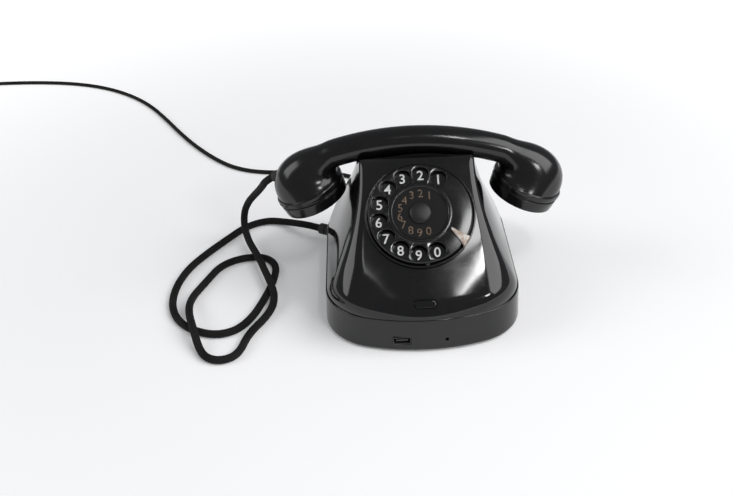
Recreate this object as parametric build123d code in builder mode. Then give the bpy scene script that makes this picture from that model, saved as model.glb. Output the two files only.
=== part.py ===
from build123d import *
import os
from math import cos, pi, radians, sin, sqrt, tan

# A rotary dial table telephone, in millimetres. The front faces -Y, +X is to the right of the dial, +Z is up,
# and the origin lies on the table under the middle of the housing.
os.makedirs("parts", exist_ok=True)

# Shared fits and walls
slip = 0.05  # radial running clearance of a shaft, spindle or plunger
loose = 0.3  # gap between pieces that lie close without touching
wall = 3.5  # moulded wall
sheet = 1.5  # sheet steel

# Housing plan, heights and rounding
plinth_half_width = 76.0
plinth_front = 90.0  # front and rear of the plinth from the origin
plinth_rear = 90.0
plinth_draft = 0.8
rim_lift = 2.0  # lower edge of the plinth above the table
shoulder_z = 29.0  # top of the plinth band
shoulder_ledge = 0.8
ridge_z = 114.0  # top of the cradle ridges
ridge_half_width = 45.0
ridge_reach = 76.1  # rear of the ridge behind the middle of the dial
front_bow = 21.0
rear_bow = 10.0
flat_bow = 0.4
front_corner = 44.0
rear_corner = 40.0
ridge_corner = 5.0
ridge_round = 3.0
chin_radius = 25.0  # rounding between the dial face and the plinth band
cavity_top = 100.0

# Dial face
face_lean = 50.3  # degrees from the level to the normal of the dial face
face_setback = 59.9  # middle of the dial behind the front of the plinth
dial_y = face_setback - plinth_front
ridge_rear = dial_y + ridge_reach
dial_z = 84.3
face_skin = 0.4  # the moulded face stands this proud of the flat seat of the dial

# Dial: the wheel sets the holes and the label inside it, and the collar and the case round and behind it
wheel_radius = 39.5
wheel_thickness = 2.4
wheel_base = 3.6  # underside of the finger wheel above the dial face
wheel_gap = 1.1
hole_count = 10
hole_pitch = 25.5
first_hole = 61.0  # degrees, the hole of digit 1
hole_rim = 1.75  # least width outside a hole
hole_web = 1.404  # least width between two holes
half_pitch = sin(radians(hole_pitch / 2))
hole_radius = ((wheel_radius - hole_rim) * half_pitch - hole_web / 2) / (1 + half_pitch)
hole_circle = wheel_radius - hole_rim - hole_radius
label_margin = 0.75
label_ring_width = 3.0
label_ring_radius = hole_circle - hole_radius - label_margin
label_radius = label_ring_radius - label_ring_width
label_recess = 0.8
label_thickness = 0.7
label_ring_lap = 0.7
label_ring_height = 1.0
collar_width = 1.4
collar_height = 3.0
collar_radius = wheel_radius + wheel_gap + collar_width
number_plate = 1.2
dial_flange = 6.0  # width of the number plate that rests on the housing
case_radius = collar_radius - dial_flange
case_depth = 26.0
case_wall = 1.2
shaft_radius = 3.0
cap_radius = 8.5
cap_rise = 3.2
stop_angle = -36.0
stop_tip_angle = -31.0
stop_tip_radius = 26.1
stop_width = 9.0
stop_tip_width = 1.6
stop_thickness = 1.1
stop_clear = 0.6

# Gear train behind the dial, as wide as the case allows
gear_teeth = 60
pinion_teeth = 10
tooth_share = 0.36  # tooth width at the pitch circle over the pitch
gear_thickness = 1.6
gear_top = -6.4  # upper face of the drive gear, along the dial axis
train_angle = 270.0
spindle_radius = 1.0
bridge_thickness = 1.0
weight_radius = 4.5
weight_height = 4.0
drum_wall = 0.8
drum_gap = 1.2
drum_radius = weight_radius + loose
train_distance = case_radius - case_wall - drum_gap - drum_wall - drum_radius
gear_module = 2 * train_distance / (gear_teeth + pinion_teeth)
cam_radius = 3.0
cam_waist = 1.8
cam_thickness = 1.2
cam_drop = 2.4
cam_gap = 1.7
cam_top = gear_top - gear_thickness - cam_drop
drum_top = cam_top - cam_thickness - cam_gap
contact_gap = 0.5
contact_width = 7.0
contact_depth = 6.0
leaf = 0.4
leaf_length = 18.0
spring_turns = 4
spring_pitch = 2.4
spring_strip = 0.5
spring_height = 2.0
spring_top = -2.5
spring_post = 1.0
dial_screw_circle = (case_radius + collar_radius - collar_width) / 2
dial_screw_radius = 1.2
dial_screw_head = 1.9
dial_screw_length = 6.0
dial_screw_angles = (35.0, 155.0, 275.0)

# Cradle and handset
cradle_inset = 21.0  # middle of the cradle in front of the rear of the ridge
cradle_y = ridge_rear - cradle_inset
handle_z = 120.85  # middle of the handle over the cradle
arch_radius = 218.8
handle_half_height = 10.9
handle_half_width = 12.0
cradle_gap = 1.2
trough_radius = 20.0
handset_yaw = -2.56  # degrees, as it lies in the photograph
handset_shift = 1.8
handle_end = 17.5  # degrees along the arch where the handle starts to swell
throat = 5.4
bell_gap = 2.9
bell_radius = 27.0
bell_tilt = 22.1
bell_rise = 2.12  # powers that shape the bell between the handle and its rim
bell_fill = 4.0
bell_spread = 2.2
bell_wall = 5.0
bell_depth = 14.0
bell_floor = 9.0
ear_bead = 1.6
ear_bead_height = 5.5
ear_height = 16.0
ear_end_radius = 26.9
ear_face = 3.0
capsule_height = 12.0
sound_hole = 1.6
sound_circle = 9.0
grommet_radius = 4.8
grommet_length = 15.6
grommet_out = 28.91  # mouth of the grommet from the middle of the bell's rim
grommet_side = 4.836
grommet_rise = 4.041
grommet_direction = Vector(-0.88, 0.34, -0.33).normalized()

# Hook switch
plunger_x = 30.0
plunger_radius = 4.0
plunger_length = 20.0
hook_bar_height = 4.0
hook_bar_depth = 9.0
hook_shelf_z = 60.0
hook_leg_x = 41.0
hook_leg_width = 14.0
hook_wire = 0.9
hook_turns = 6
hook_block = 10.0

# Button in the chin
button_lean = 40.0
button_width = 16.6
button_height = 6.2
button_fit = 0.15
button_sunk = 0.5
recess_margin = 0.9
recess_depth = 1.6
button_stem = 8.0
button_flange = 1.6
button_flange_margin = 1.4
button_wire = 0.6
button_turns = 5
button_spring_length = 9.0

# Base, feet and ringer
plate_thickness = 2.0
foot_radius = 8.0
foot_height = 2.5
foot_x = 50.0
foot_y = 55.0
boss_radius = 6.0
boss_inset = 9.5
boss_height = 21.0
boss_front = -25.0
boss_rear = 42.0
base_screw_radius = 1.7
base_screw_head = 3.3
base_screw_head_height = 1.5
base_screw_length = 14.0
gong_radius = 18.0
gong_height = 13.0
gong_wall = 1.4
gong_gap = 9.0
gong_inset = 29.0
gong_y = plinth_rear - gong_inset
gong_z = 24.0
post_radius = 3.0
ringer_y = 12.0
coil_radius = 9.0
coil_height = 26.0
coil_spacing = 24.0
core_radius = 3.5
yoke_thickness = 3.0
armature_height = 3.0
clapper_pin = 1.5
clapper_ball = 3.0
clapper_arm = 1.2

# Charging socket and lamp in the plinth front
socket_x = -18.3
socket_z = 10.8
socket_width = 13.2
socket_height = 6.0
socket_wall = 0.5
socket_length = 13.0
socket_inset = 1.2
lamp_x = 15.6
lamp_radius = 1.4
board_width = 56.0
board_depth = 9.0
board_thickness = 1.6
board_inset = 9.5
board_front = board_inset - plinth_front

# Cords
handset_cord = 6.2
line_cord = 4.1
gland_z = 10.5
gland_radius = 4.9
gland_length = 14.0
gland_flange = 1.0
gland_angle = 30.0  # degrees from -X towards +Y
line_gland_x = -20.0
line_gland_radius = 4.2
line_gland_length = 14.0
coil_turns = 3
coil_pitch = 5.6
coil_layer = 5.8
coil_outer = 30.5
coil_centre = (-572.0, 497.0)
tie_width = 5.0
tie_thickness = 1.0
plug_radius = 7.0
plug_length = 32.0
pin_radius = 1.6
pin_length = 12.0
pin_spacing = 6.0


def save(piece, name):
    piece.part.label = name
    export_step(piece.part, f"parts/{name}.step")


def cylinder_on(plane, radius, start, end, mode=Mode.ADD):
    with BuildSketch(plane.offset(start)) as disc:
        Circle(radius)
    extrude(disc.sketch, amount=end - start, mode=mode)


def ring_on(plane, outer, inner, start, end):
    with BuildSketch(plane.offset(start)) as band:
        Circle(outer)
        Circle(inner, mode=Mode.SUBTRACT)
    extrude(band.sketch, amount=end - start)


def block(x_size, y_size, bottom, top, x=0.0, y=0.0, mode=Mode.ADD):
    with BuildSketch(Plane.XY.offset(bottom)) as footprint:
        with Locations((x, y)):
            Rectangle(x_size, y_size)
    extrude(footprint.sketch, amount=top - bottom, mode=mode)


# Half circles joined end to end, each from one point to the next, bulging along -X and +X in turn
def half_turns(points, first=-1):
    side = first
    for start, end in zip(points, points[1:]):
        middle = (Vector(*start) + Vector(*end)) * 0.5
        radius = (Vector(*end) - Vector(*start)).length / 2
        ThreePointArc(start, middle + Vector(side * radius, 0, 0), end)
        side = -side


def plan(ring, half_width, front, rear, bow_front, bow_rear, corner_front, corner_rear):
    with BuildLine() as outline:
        ThreePointArc((-half_width, front + bow_front), (0, front), (half_width, front + bow_front))
        Line((half_width, front + bow_front), (half_width, rear - bow_rear))
        ThreePointArc((half_width, rear - bow_rear), (0, rear), (-half_width, rear - bow_rear))
        Line((-half_width, rear - bow_rear), (-half_width, front + bow_front))
    make_face(outline.edges())
    fillet(ring.vertices().sort_by(Axis.Y)[:2], corner_front)
    fillet(ring.vertices().sort_by(Axis.Y)[-2:], corner_rear)


def plinth_plan(ring, inset):
    plan(
        ring,
        plinth_half_width - inset,
        inset - plinth_front,
        plinth_rear - inset,
        front_bow,
        rear_bow,
        front_corner - inset,
        rear_corner - inset,
    )


# The front runs down the dial face, then round the chin to the shoulder
shoulder_inset = plinth_draft + shoulder_ledge
face_along = Vector(0, sin(radians(face_lean)), cos(radians(face_lean)))
face_normal = Vector(0, -cos(radians(face_lean)), sin(radians(face_lean)))
dial_point = Vector(0, dial_y, dial_z)
shoulder_point = Vector(0, shoulder_inset - plinth_front, shoulder_z)
shoulder_depth = (dial_point - shoulder_point).dot(face_normal)
chin_reach = sqrt(chin_radius**2 - (chin_radius - shoulder_depth) ** 2)
chin_along = (shoulder_point - dial_point).dot(face_along) + chin_reach
chin_top = dial_point + face_along * chin_along
chin_centre = chin_top - face_normal * chin_radius


def front_line(z):
    if z > chin_top.Z:
        return dial_y + (z - dial_z) * tan(radians(face_lean))
    return chin_centre.Y - sqrt(chin_radius**2 - (z - chin_centre.Z) ** 2)


def body_plan(ring, z, inset):
    share = (z - shoulder_z) / (ridge_z - shoulder_z)
    flare = (1 - share**1.25) ** 1.5
    fade = (1 - share) ** 4
    shoulder_half_width = plinth_half_width - shoulder_inset
    shoulder_rear = plinth_rear - shoulder_inset
    plan(
        ring,
        ridge_half_width + (shoulder_half_width - ridge_half_width) * flare - inset,
        front_line(z) - face_skin + inset / cos(radians(face_lean)),
        ridge_rear + (shoulder_rear - ridge_rear) * flare - inset,
        flat_bow + (front_bow - flat_bow) * fade**1.5,
        flat_bow + (rear_bow - flat_bow) * fade,
        max(ridge_corner + (front_corner - ridge_corner) * fade - inset, ridge_corner / 2),
        max(ridge_corner + (rear_corner - ridge_corner) * fade**0.5 - inset, ridge_corner / 2),
    )


def stations(top, shares):
    return [shoulder_z + share * (top - shoulder_z) for share in shares]


# Planes that several pieces share
dial_plane = Plane(origin=dial_point, x_dir=(1, 0, 0), z_dir=face_normal)
button_normal = Vector(0, -cos(radians(button_lean)), sin(radians(button_lean)))
button_plane = Plane(
    origin=chin_centre + button_normal * (chin_radius + face_skin),
    x_dir=(1, 0, 0),
    z_dir=button_normal,
)
gland_direction = Vector(-cos(radians(gland_angle)), sin(radians(gland_angle)), 0)
gland_plane = Plane(
    origin=(rear_corner - plinth_half_width, plinth_rear - rear_corner, gland_z),
    x_dir=(0, 0, 1),
    z_dir=gland_direction,
)
line_gland_plane = Plane(
    origin=(line_gland_x, plinth_rear, gland_z), x_dir=(1, 0, 0), z_dir=(0, 1, 0)
)
handset_plane = Plane(
    origin=(handset_shift, cradle_y, 0),
    x_dir=(cos(radians(handset_yaw)), sin(radians(handset_yaw)), 0),
    z_dir=(0, 0, 1),
)

plate_bottom = foot_height
plate_top = plate_bottom + plate_thickness
arch_centre = handle_z - arch_radius
trough_z = handle_z - handle_half_height - cradle_gap + trough_radius
boss_x = plinth_half_width - boss_inset
boss_points = [(x, y) for x in (-boss_x, boss_x) for y in (boss_front, boss_rear)]

# Housing: plinth band and tapering body, hollow from below
with BuildPart() as housing:
    for z, inset in ((rim_lift, 0.0), (shoulder_z, plinth_draft)):
        with BuildSketch(Plane.XY.offset(z)) as ring:
            plinth_plan(ring, inset)
    loft(ruled=True)
    for z in stations(ridge_z, (0, 0.06, 0.14, 0.24, 0.36, 0.5, 0.64, 0.76, 0.88, 1)):
        with BuildSketch(Plane.XY.offset(z)) as ring:
            body_plan(ring, z, 0)
    loft()
    fillet(housing.faces().sort_by(Axis.Z)[-1].edges(), ridge_round)
    with BuildSketch(Plane.XY.offset(rim_lift)) as ring:
        plinth_plan(ring, wall + plinth_draft)
    extrude(amount=shoulder_z - rim_lift, mode=Mode.SUBTRACT)
    for z in stations(cavity_top, (0, 0.1, 0.22, 0.36, 0.52, 0.68, 0.84, 1)):
        with BuildSketch(Plane.XY.offset(z)) as ring:
            body_plan(ring, z, wall)
    loft(mode=Mode.SUBTRACT)
    # Cradle trough, arched like the handle
    with BuildSketch(Plane.YZ):
        with Locations((cradle_y, trough_z)):
            Circle(trough_radius)
    revolve(axis=Axis((0, 0, arch_centre), (0, 1, 0)), mode=Mode.SUBTRACT)
    # Well and flat seat of the dial
    cylinder_on(dial_plane, case_radius + loose, -case_depth - loose, wall, Mode.SUBTRACT)
    cylinder_on(dial_plane, collar_radius + loose, 0, wall, Mode.SUBTRACT)
    with BuildSketch(dial_plane.offset(-dial_screw_length - loose)):
        for angle in dial_screw_angles:
            with PolarLocations(dial_screw_circle, 1, start_angle=angle):
                Circle(dial_screw_radius + slip)
    extrude(amount=dial_screw_length + wall, mode=Mode.SUBTRACT)
    # Oval recess and slot of the button
    with BuildSketch(button_plane.offset(-recess_depth)):
        SlotOverall(button_width + 2 * recess_margin, button_height + 2 * recess_margin)
    extrude(amount=recess_depth + wall, mode=Mode.SUBTRACT)
    with BuildSketch(button_plane.offset(-button_stem)):
        SlotOverall(button_width + 2 * button_fit, button_height + 2 * button_fit)
    extrude(amount=button_stem, mode=Mode.SUBTRACT)
    # Socket window and lamp hole in the plinth front
    with BuildSketch(Plane.XZ.offset(plinth_front - 2 * wall)):
        with Locations((socket_x, socket_z)):
            RectangleRounded(socket_width + 2 * loose, socket_height + 2 * loose, socket_wall)
        with Locations((lamp_x, socket_z)):
            Circle(lamp_radius + slip)
    extrude(amount=3 * wall, mode=Mode.SUBTRACT)
    # Cord exits
    cylinder_on(gland_plane, gland_radius + slip, rear_corner - 5 * wall, rear_corner + wall, Mode.SUBTRACT)
    cylinder_on(line_gland_plane, line_gland_radius + slip, -3 * wall, wall, Mode.SUBTRACT)
    # Plunger guides in the trough
    with BuildSketch(Plane.XY.offset(cavity_top - wall)):
        with Locations((-plunger_x, cradle_y), (plunger_x, cradle_y)):
            Circle(plunger_radius + slip)
    extrude(amount=ridge_z - cavity_top + wall, mode=Mode.SUBTRACT)
    # Screw bosses for the base plate
    with BuildSketch(Plane.XY.offset(plate_top)):
        with Locations(*boss_points):
            Circle(boss_radius)
    extrude(amount=boss_height)
    with BuildSketch(Plane.XY.offset(plate_top)):
        with Locations(*boss_points):
            Circle(base_screw_radius + slip)
    extrude(amount=base_screw_length, mode=Mode.SUBTRACT)
save(housing, "housing")

# Base plate inside the plinth, with its feet and screws
with BuildPart() as base_plate:
    with BuildSketch(Plane.XY.offset(plate_bottom)) as ring:
        plinth_plan(ring, wall + plinth_draft + loose)
        with Locations(*boss_points):
            Circle(base_screw_radius + slip, mode=Mode.SUBTRACT)
    extrude(amount=plate_thickness)
save(base_plate, "base_plate")

with BuildPart() as feet:
    with BuildSketch():
        with GridLocations(2 * foot_x, 2 * foot_y, 2, 2):
            Circle(foot_radius)
    extrude(amount=foot_height)
    chamfer(feet.faces().group_by(Axis.Z)[0].edges(), foot_height / 4)
save(feet, "feet")

with BuildPart() as base_screws:
    with BuildSketch(Plane.XY.offset(plate_bottom - base_screw_head_height)):
        with Locations(*boss_points):
            Circle(base_screw_head)
    extrude(amount=base_screw_head_height)
    with BuildSketch(Plane.XY.offset(plate_bottom)):
        with Locations(*boss_points):
            Circle(base_screw_radius)
    extrude(amount=base_screw_length)
save(base_screws, "base_screws")

# Dial: fixed number plate with its collar, and the case behind it
spring_outer = shaft_radius + spring_turns * spring_pitch + spring_strip * 1.5
with BuildPart() as number_ring:
    ring_on(dial_plane, collar_radius, shaft_radius + slip, 0, number_plate)
    ring_on(dial_plane, collar_radius, collar_radius - collar_width, number_plate, collar_height)
    with BuildSketch(dial_plane):
        for angle in dial_screw_angles:
            with PolarLocations(dial_screw_circle, 1, start_angle=angle):
                Circle(dial_screw_radius + slip)
    extrude(amount=number_plate, mode=Mode.SUBTRACT)
    with BuildSketch(dial_plane.offset(spring_top - spring_height)):
        with Locations((spring_outer + spring_post + slip, 0)):
            Circle(spring_post)
    extrude(amount=spring_height - spring_top)
save(number_ring, "number_ring")

pinion_radius = gear_module * pinion_teeth / 2
train_x = train_distance * cos(radians(train_angle))
train_y = train_distance * sin(radians(train_angle))
case_floor = case_wall - case_depth
spindle_plane = Plane(
    origin=dial_plane.from_local_coords((train_x, train_y, 0)), x_dir=(1, 0, 0), z_dir=face_normal
)

with BuildPart() as dial_case:
    ring_on(dial_plane, case_radius, case_radius - case_wall, case_floor, 0)
    cylinder_on(dial_plane, case_radius, -case_depth, case_floor)
    cylinder_on(dial_plane, shaft_radius + slip, -case_depth, case_floor, Mode.SUBTRACT)
    cylinder_on(spindle_plane, spindle_radius + slip, -case_depth, case_floor, Mode.SUBTRACT)
save(dial_case, "dial_case")

with BuildPart() as dial_screws:
    for angle in dial_screw_angles:
        with BuildSketch(dial_plane.offset(number_plate)):
            with PolarLocations(dial_screw_circle, 1, start_angle=angle):
                Circle(dial_screw_head)
        extrude(amount=dial_screw_head / 3)
        with BuildSketch(dial_plane.offset(-dial_screw_length)):
            with PolarLocations(dial_screw_circle, 1, start_angle=angle):
                Circle(dial_screw_radius)
        extrude(amount=dial_screw_length + number_plate)
save(dial_screws, "dial_screws")

# Finger wheel with ten finger holes, and what sits in its middle
wheel_top = wheel_base + wheel_thickness
label_base = wheel_top - label_recess
with BuildPart() as finger_wheel:
    cylinder_on(dial_plane, wheel_radius, wheel_base, wheel_top)
    fillet(finger_wheel.faces().sort_by(Axis(dial_point, face_normal))[-1].edges(), wheel_thickness / 3)
    ring_on(dial_plane, 2 * shaft_radius, shaft_radius, number_plate + loose, wheel_base)
    cylinder_on(dial_plane, shaft_radius, wheel_base, wheel_top, Mode.SUBTRACT)
    cylinder_on(dial_plane, label_radius + slip, label_base, wheel_top, Mode.SUBTRACT)
    with BuildSketch(dial_plane.offset(wheel_base)):
        for index in range(hole_count):
            with PolarLocations(hole_circle, 1, start_angle=first_hole + hole_pitch * index):
                Circle(hole_radius)
    extrude(amount=wheel_thickness, mode=Mode.SUBTRACT)
save(finger_wheel, "finger_wheel")

with BuildPart() as label_disc:
    cylinder_on(dial_plane, label_radius, label_base, label_base + label_thickness)
save(label_disc, "label_disc")

with BuildPart() as label_ring:
    ring_on(
        dial_plane, label_ring_radius, label_radius - label_ring_lap, wheel_top, wheel_top + label_ring_height
    )
    fillet(label_ring.faces().sort_by(Axis(dial_point, face_normal))[-1].edges(), label_ring_height / 3)
save(label_ring, "label_ring")

with BuildPart() as centre_cap:
    cap_foot = label_base + label_thickness
    cylinder_on(dial_plane, cap_radius, cap_foot, cap_foot + cap_rise)
    fillet(centre_cap.faces().sort_by(Axis(dial_point, face_normal))[-1].edges(), cap_rise * 0.9)
save(centre_cap, "centre_cap")

with BuildPart() as dial_shaft:
    cylinder_on(dial_plane, shaft_radius, -case_depth, label_base)
save(dial_shaft, "dial_shaft")

# Finger stop: a blade that reaches in over the wheel from the collar
stop_base = wheel_top + stop_clear
with BuildPart() as finger_stop:
    with BuildSketch(dial_plane.offset(stop_base)) as blade:
        root_x = collar_radius * cos(radians(stop_angle))
        root_y = collar_radius * sin(radians(stop_angle))
        side_x = -sin(radians(stop_angle)) * stop_width / 2
        side_y = cos(radians(stop_angle)) * stop_width / 2
        tip_x = stop_tip_radius * cos(radians(stop_tip_angle))
        tip_y = stop_tip_radius * sin(radians(stop_tip_angle))
        tip_side = stop_tip_width / stop_width
        Polygon(
            (root_x + side_x, root_y + side_y),
            (tip_x + side_x * tip_side, tip_y + side_y * tip_side),
            (tip_x - side_x * tip_side, tip_y - side_y * tip_side),
            (root_x - side_x, root_y - side_y),
            align=None,
        )
    extrude(amount=stop_thickness)
    with BuildSketch(dial_plane.offset(collar_height)):
        with PolarLocations(collar_radius - collar_width / 2, 1, start_angle=stop_angle):
            Rectangle(collar_width, stop_width)
    extrude(amount=stop_base + stop_thickness - collar_height)
save(finger_stop, "finger_stop")


# Toothed wheel with thin straight-sided teeth, one of them at the start angle
def toothed(plane, teeth, start_angle, bore, bottom, top):
    pitch = pi * gear_module
    root = gear_module * teeth / 2 - gear_module
    with BuildSketch(plane.offset(bottom)) as profile:
        Circle(root)
        with PolarLocations(root, teeth, start_angle=start_angle):
            Polygon(
                (-gear_module / 2, -pitch * tooth_share * 0.6),
                (gear_module * 1.8, -pitch * tooth_share * 0.3),
                (gear_module * 1.8, pitch * tooth_share * 0.3),
                (-gear_module / 2, pitch * tooth_share * 0.6),
                align=None,
            )
        Circle(bore, mode=Mode.SUBTRACT)
    extrude(profile.sketch, amount=top - bottom)


with BuildPart() as drive_gear:
    toothed(dial_plane, gear_teeth, train_angle, shaft_radius, gear_top - gear_thickness, gear_top)
save(drive_gear, "drive_gear")

bridge_base = gear_top + loose
with BuildPart() as governor_spindle:
    cylinder_on(spindle_plane, spindle_radius, -case_depth, bridge_base + bridge_thickness)
    pinion_start = train_angle + 180 + 180 / pinion_teeth
    toothed(spindle_plane, pinion_teeth, pinion_start, 0.5, gear_top - gear_thickness - loose, gear_top)
    with BuildSketch(spindle_plane.offset(cam_top - cam_thickness)):
        Ellipse(cam_radius, cam_waist)
    extrude(amount=cam_thickness)
save(governor_spindle, "governor_spindle")

with BuildPart() as governor_weights:
    with BuildSketch(spindle_plane.offset(drum_top - weight_height - loose)):
        Circle(weight_radius)
        Circle(spindle_radius, mode=Mode.SUBTRACT)
        Rectangle(2 * weight_radius, spindle_radius, mode=Mode.SUBTRACT)
        Circle(spindle_radius + leaf)
        Circle(spindle_radius, mode=Mode.SUBTRACT)
    extrude(amount=weight_height)
save(governor_weights, "governor_weights")

with BuildPart() as governor_drum:
    ring_on(spindle_plane, drum_radius + drum_wall, drum_radius, case_floor, drum_top)
save(governor_drum, "governor_drum")

with BuildPart() as governor_bridge:
    with BuildSketch(dial_plane.offset(bridge_base)):
        Circle(case_radius - case_wall)
        with Locations((train_x, train_y - pinion_radius)):
            Rectangle(6 * pinion_radius, 4 * pinion_radius, mode=Mode.INTERSECT)
        with Locations((train_x, train_y)):
            Circle(spindle_radius + slip, mode=Mode.SUBTRACT)
    extrude(amount=bridge_thickness)
save(governor_bridge, "governor_bridge")

with BuildPart() as pulse_contacts:
    leaf_x = cam_radius + contact_gap
    leaf_y = leaf_length / 2 - cam_waist
    block_y = leaf_y + leaf_length / 2 - loose
    leaf_spacing = contact_width / 3
    with BuildSketch(spindle_plane.offset(case_floor)):
        with Locations((leaf_x + leaf_spacing, block_y)):
            Rectangle(contact_width, contact_depth)
    extrude(amount=cam_top - case_floor + loose)
    with BuildSketch(spindle_plane.offset(cam_top - cam_thickness)):
        with Locations((leaf_x + leaf / 2, leaf_y), (leaf_x + leaf / 2 + leaf_spacing, leaf_y)):
            Rectangle(leaf, leaf_length)
    extrude(amount=cam_thickness)
save(pulse_contacts, "pulse_contacts")

# Spiral return spring between the shaft and its post
with BuildPart() as return_spring:
    with BuildSketch(dial_plane.offset(spring_top - spring_height)):
        with BuildLine() as spiral:
            first = shaft_radius + spring_strip
            reach = [first + spring_pitch * step / 2 for step in range(2 * spring_turns + 1)]
            for step in range(2 * spring_turns):
                start = ((-1) ** step * reach[step], 0)
                end = ((-1) ** (step + 1) * reach[step + 1], 0)
                middle = ((start[0] + end[0]) / 2, (-1) ** step * (reach[step] + reach[step + 1]) / 2)
                ThreePointArc(start, middle, end)
        trace(line_width=spring_strip)
    extrude(amount=spring_height)
save(return_spring, "return_spring")


# Hook switch: two plungers through the cradle, joined by a bar on two springs
def arch_drop(x):
    return arch_radius - sqrt(arch_radius**2 - x**2)


plunger_top = handle_z - handle_half_height - arch_drop(plunger_x + plunger_radius + handset_shift) - loose
plunger_foot = plunger_top - plunger_length
bar_base = plunger_foot - hook_bar_height
with BuildPart() as hook_plungers:
    with BuildSketch(Plane.XY.offset(plunger_foot)):
        with Locations((-plunger_x, cradle_y), (plunger_x, cradle_y)):
            Circle(plunger_radius)
    extrude(amount=plunger_length)
    fillet(hook_plungers.faces().group_by(Axis.Z)[-1].edges(), plunger_radius / 3)
save(hook_plungers, "hook_plungers")

with BuildPart() as hook_bar:
    block(2 * (plunger_x + plunger_radius), hook_bar_depth, bar_base, plunger_foot, y=cradle_y)
save(hook_bar, "hook_bar")

# Frame that stands on the base plate and carries the hook springs and contacts
with BuildPart() as hook_frame:
    block(2 * hook_leg_x, hook_leg_width, hook_shelf_z - sheet, hook_shelf_z, y=cradle_y)
    for side in (-1, 1):
        block(
            sheet, hook_leg_width, plate_top, hook_shelf_z, x=side * (hook_leg_x - sheet / 2), y=cradle_y
        )
        block(
            hook_leg_width / 2,
            hook_leg_width,
            plate_top,
            plate_top + sheet,
            x=side * (hook_leg_x - hook_leg_width / 4),
            y=cradle_y,
        )
save(hook_frame, "hook_frame")


# Compression spring along the normal of a plane, wound from tilted half circles between two flat ends
def spring_points(plane, radius, bottom, top, wire, turns):
    rise = (top - bottom - wire) / (2 * turns)
    return [
        plane.from_local_coords((0, (-1) ** (step + 1) * radius, bottom + wire / 2 + rise * step))
        for step in range(2 * turns + 1)
    ]


def wound(points, wire):
    with BuildLine() as winding:
        half_turns(points)
    with BuildSketch(Plane(origin=points[0], z_dir=(-1, 0, 0))) as section:
        Circle(wire / 2)
    sweep(section.sketch, path=winding.wires()[0])


with BuildPart() as hook_springs:
    for side in (-1, 1):
        spot = Plane(origin=(side * plunger_x, cradle_y, 0))
        coil_at = plunger_radius - hook_wire
        wound(spring_points(spot, coil_at, hook_shelf_z, bar_base, hook_wire, hook_turns), hook_wire)
save(hook_springs, "hook_springs")

with BuildPart() as hook_contacts:
    block(2 * hook_block, hook_block, hook_shelf_z, hook_shelf_z + hook_block, y=cradle_y)
    for offset in (-1, 0, 1):
        block(
            hook_block,
            leaf,
            hook_shelf_z + hook_block,
            bar_base - loose,
            y=cradle_y + offset * hook_block / 4,
        )
save(hook_contacts, "hook_contacts")

# Handset: an arched handle that swells into a bell at each end
swell_centre = arch_radius - handle_half_height - throat
swell_x = swell_centre * sin(radians(handle_end))
swell_z = arch_centre + swell_centre * cos(radians(handle_end))
lateral = handset_plane.y_dir


def in_handset(x, y, z):
    return handset_plane.from_local_coords((x, y, z))


# Section plane of the handset, square to its spine, at a lean of its height from the upright
def spine_plane(x, z, lean):
    along = in_handset(cos(radians(lean)), 0, -sin(radians(lean))) - in_handset(0, 0, 0)
    return Plane(origin=in_handset(x, 0, z), x_dir=lateral, z_dir=along)


def bell_half_height(share):
    swell = (1 - (1 - share) ** bell_rise) ** bell_fill
    return handle_half_height + (bell_radius - handle_half_height) * swell


# Plane across a bell, from the handle at share 0 to the rim at share 1
def bell_plane(side, share):
    lean = side * (handle_end + (90 + bell_tilt - handle_end) * share)
    half_height = bell_half_height(share)
    reach = throat + (bell_gap - throat) * share**2 + half_height
    return spine_plane(
        side * swell_x + reach * sin(radians(lean)), swell_z + reach * cos(radians(lean)), lean
    )


def bell_section(side, share):
    half_width = handle_half_width + (bell_radius - handle_half_width) * share**bell_spread
    return bell_plane(side, share), half_width, bell_half_height(share)


bell_shares = (0, 0.12, 0.24, 0.36, 0.48, 0.6, 0.74, 0.88, 1)


# Plane on a bell's rim that faces out of the bell
def rim_plane(side):
    rim = bell_plane(side, 1)
    return Plane(origin=rim.origin, x_dir=lateral, z_dir=rim.z_dir * side)


rim_middle = handset_plane.to_local_coords(bell_plane(-1, 1).origin)
grommet_mouth = in_handset(rim_middle.X - grommet_out, grommet_side, rim_middle.Z + grommet_rise)
grommet_plane = Plane(
    origin=grommet_mouth - grommet_direction * grommet_length, x_dir=(0, 0, 1), z_dir=grommet_direction
)

with BuildPart() as handset_body:
    stations = (bell_plane(-1, 0), spine_plane(0, handle_z, 0), bell_plane(1, 0))
    with BuildLine() as arch:
        Spline(*[station.origin for station in stations], tangents=(stations[0].z_dir, stations[2].z_dir))
    for station in stations:
        with BuildSketch(station):
            Ellipse(handle_half_width, handle_half_height)
    sweep(path=arch.wires()[0], multisection=True)
    for side in (-1, 1):
        with BuildLine() as spine:
            Spline(*[bell_plane(side, share).origin for share in bell_shares])
        for share in bell_shares:
            plane, half_width, half_height = bell_section(side, share)
            with BuildSketch(plane):
                Ellipse(half_width, half_height)
        sweep(path=spine.wires()[0], multisection=True)
    for side in (-1, 1):
        with BuildSketch(rim_plane(side)):
            Circle(bell_radius - bell_wall)
        with BuildSketch(rim_plane(side).offset(-bell_depth)):
            Circle(bell_floor)
        loft(mode=Mode.SUBTRACT)
    cylinder_on(grommet_plane, grommet_radius + slip, 0, grommet_length, Mode.SUBTRACT)
save(handset_body, "handset_body")

with BuildPart() as handset_grommet:
    cylinder_on(grommet_plane, grommet_radius, loose, grommet_length)
save(handset_grommet, "handset_grommet")


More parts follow.
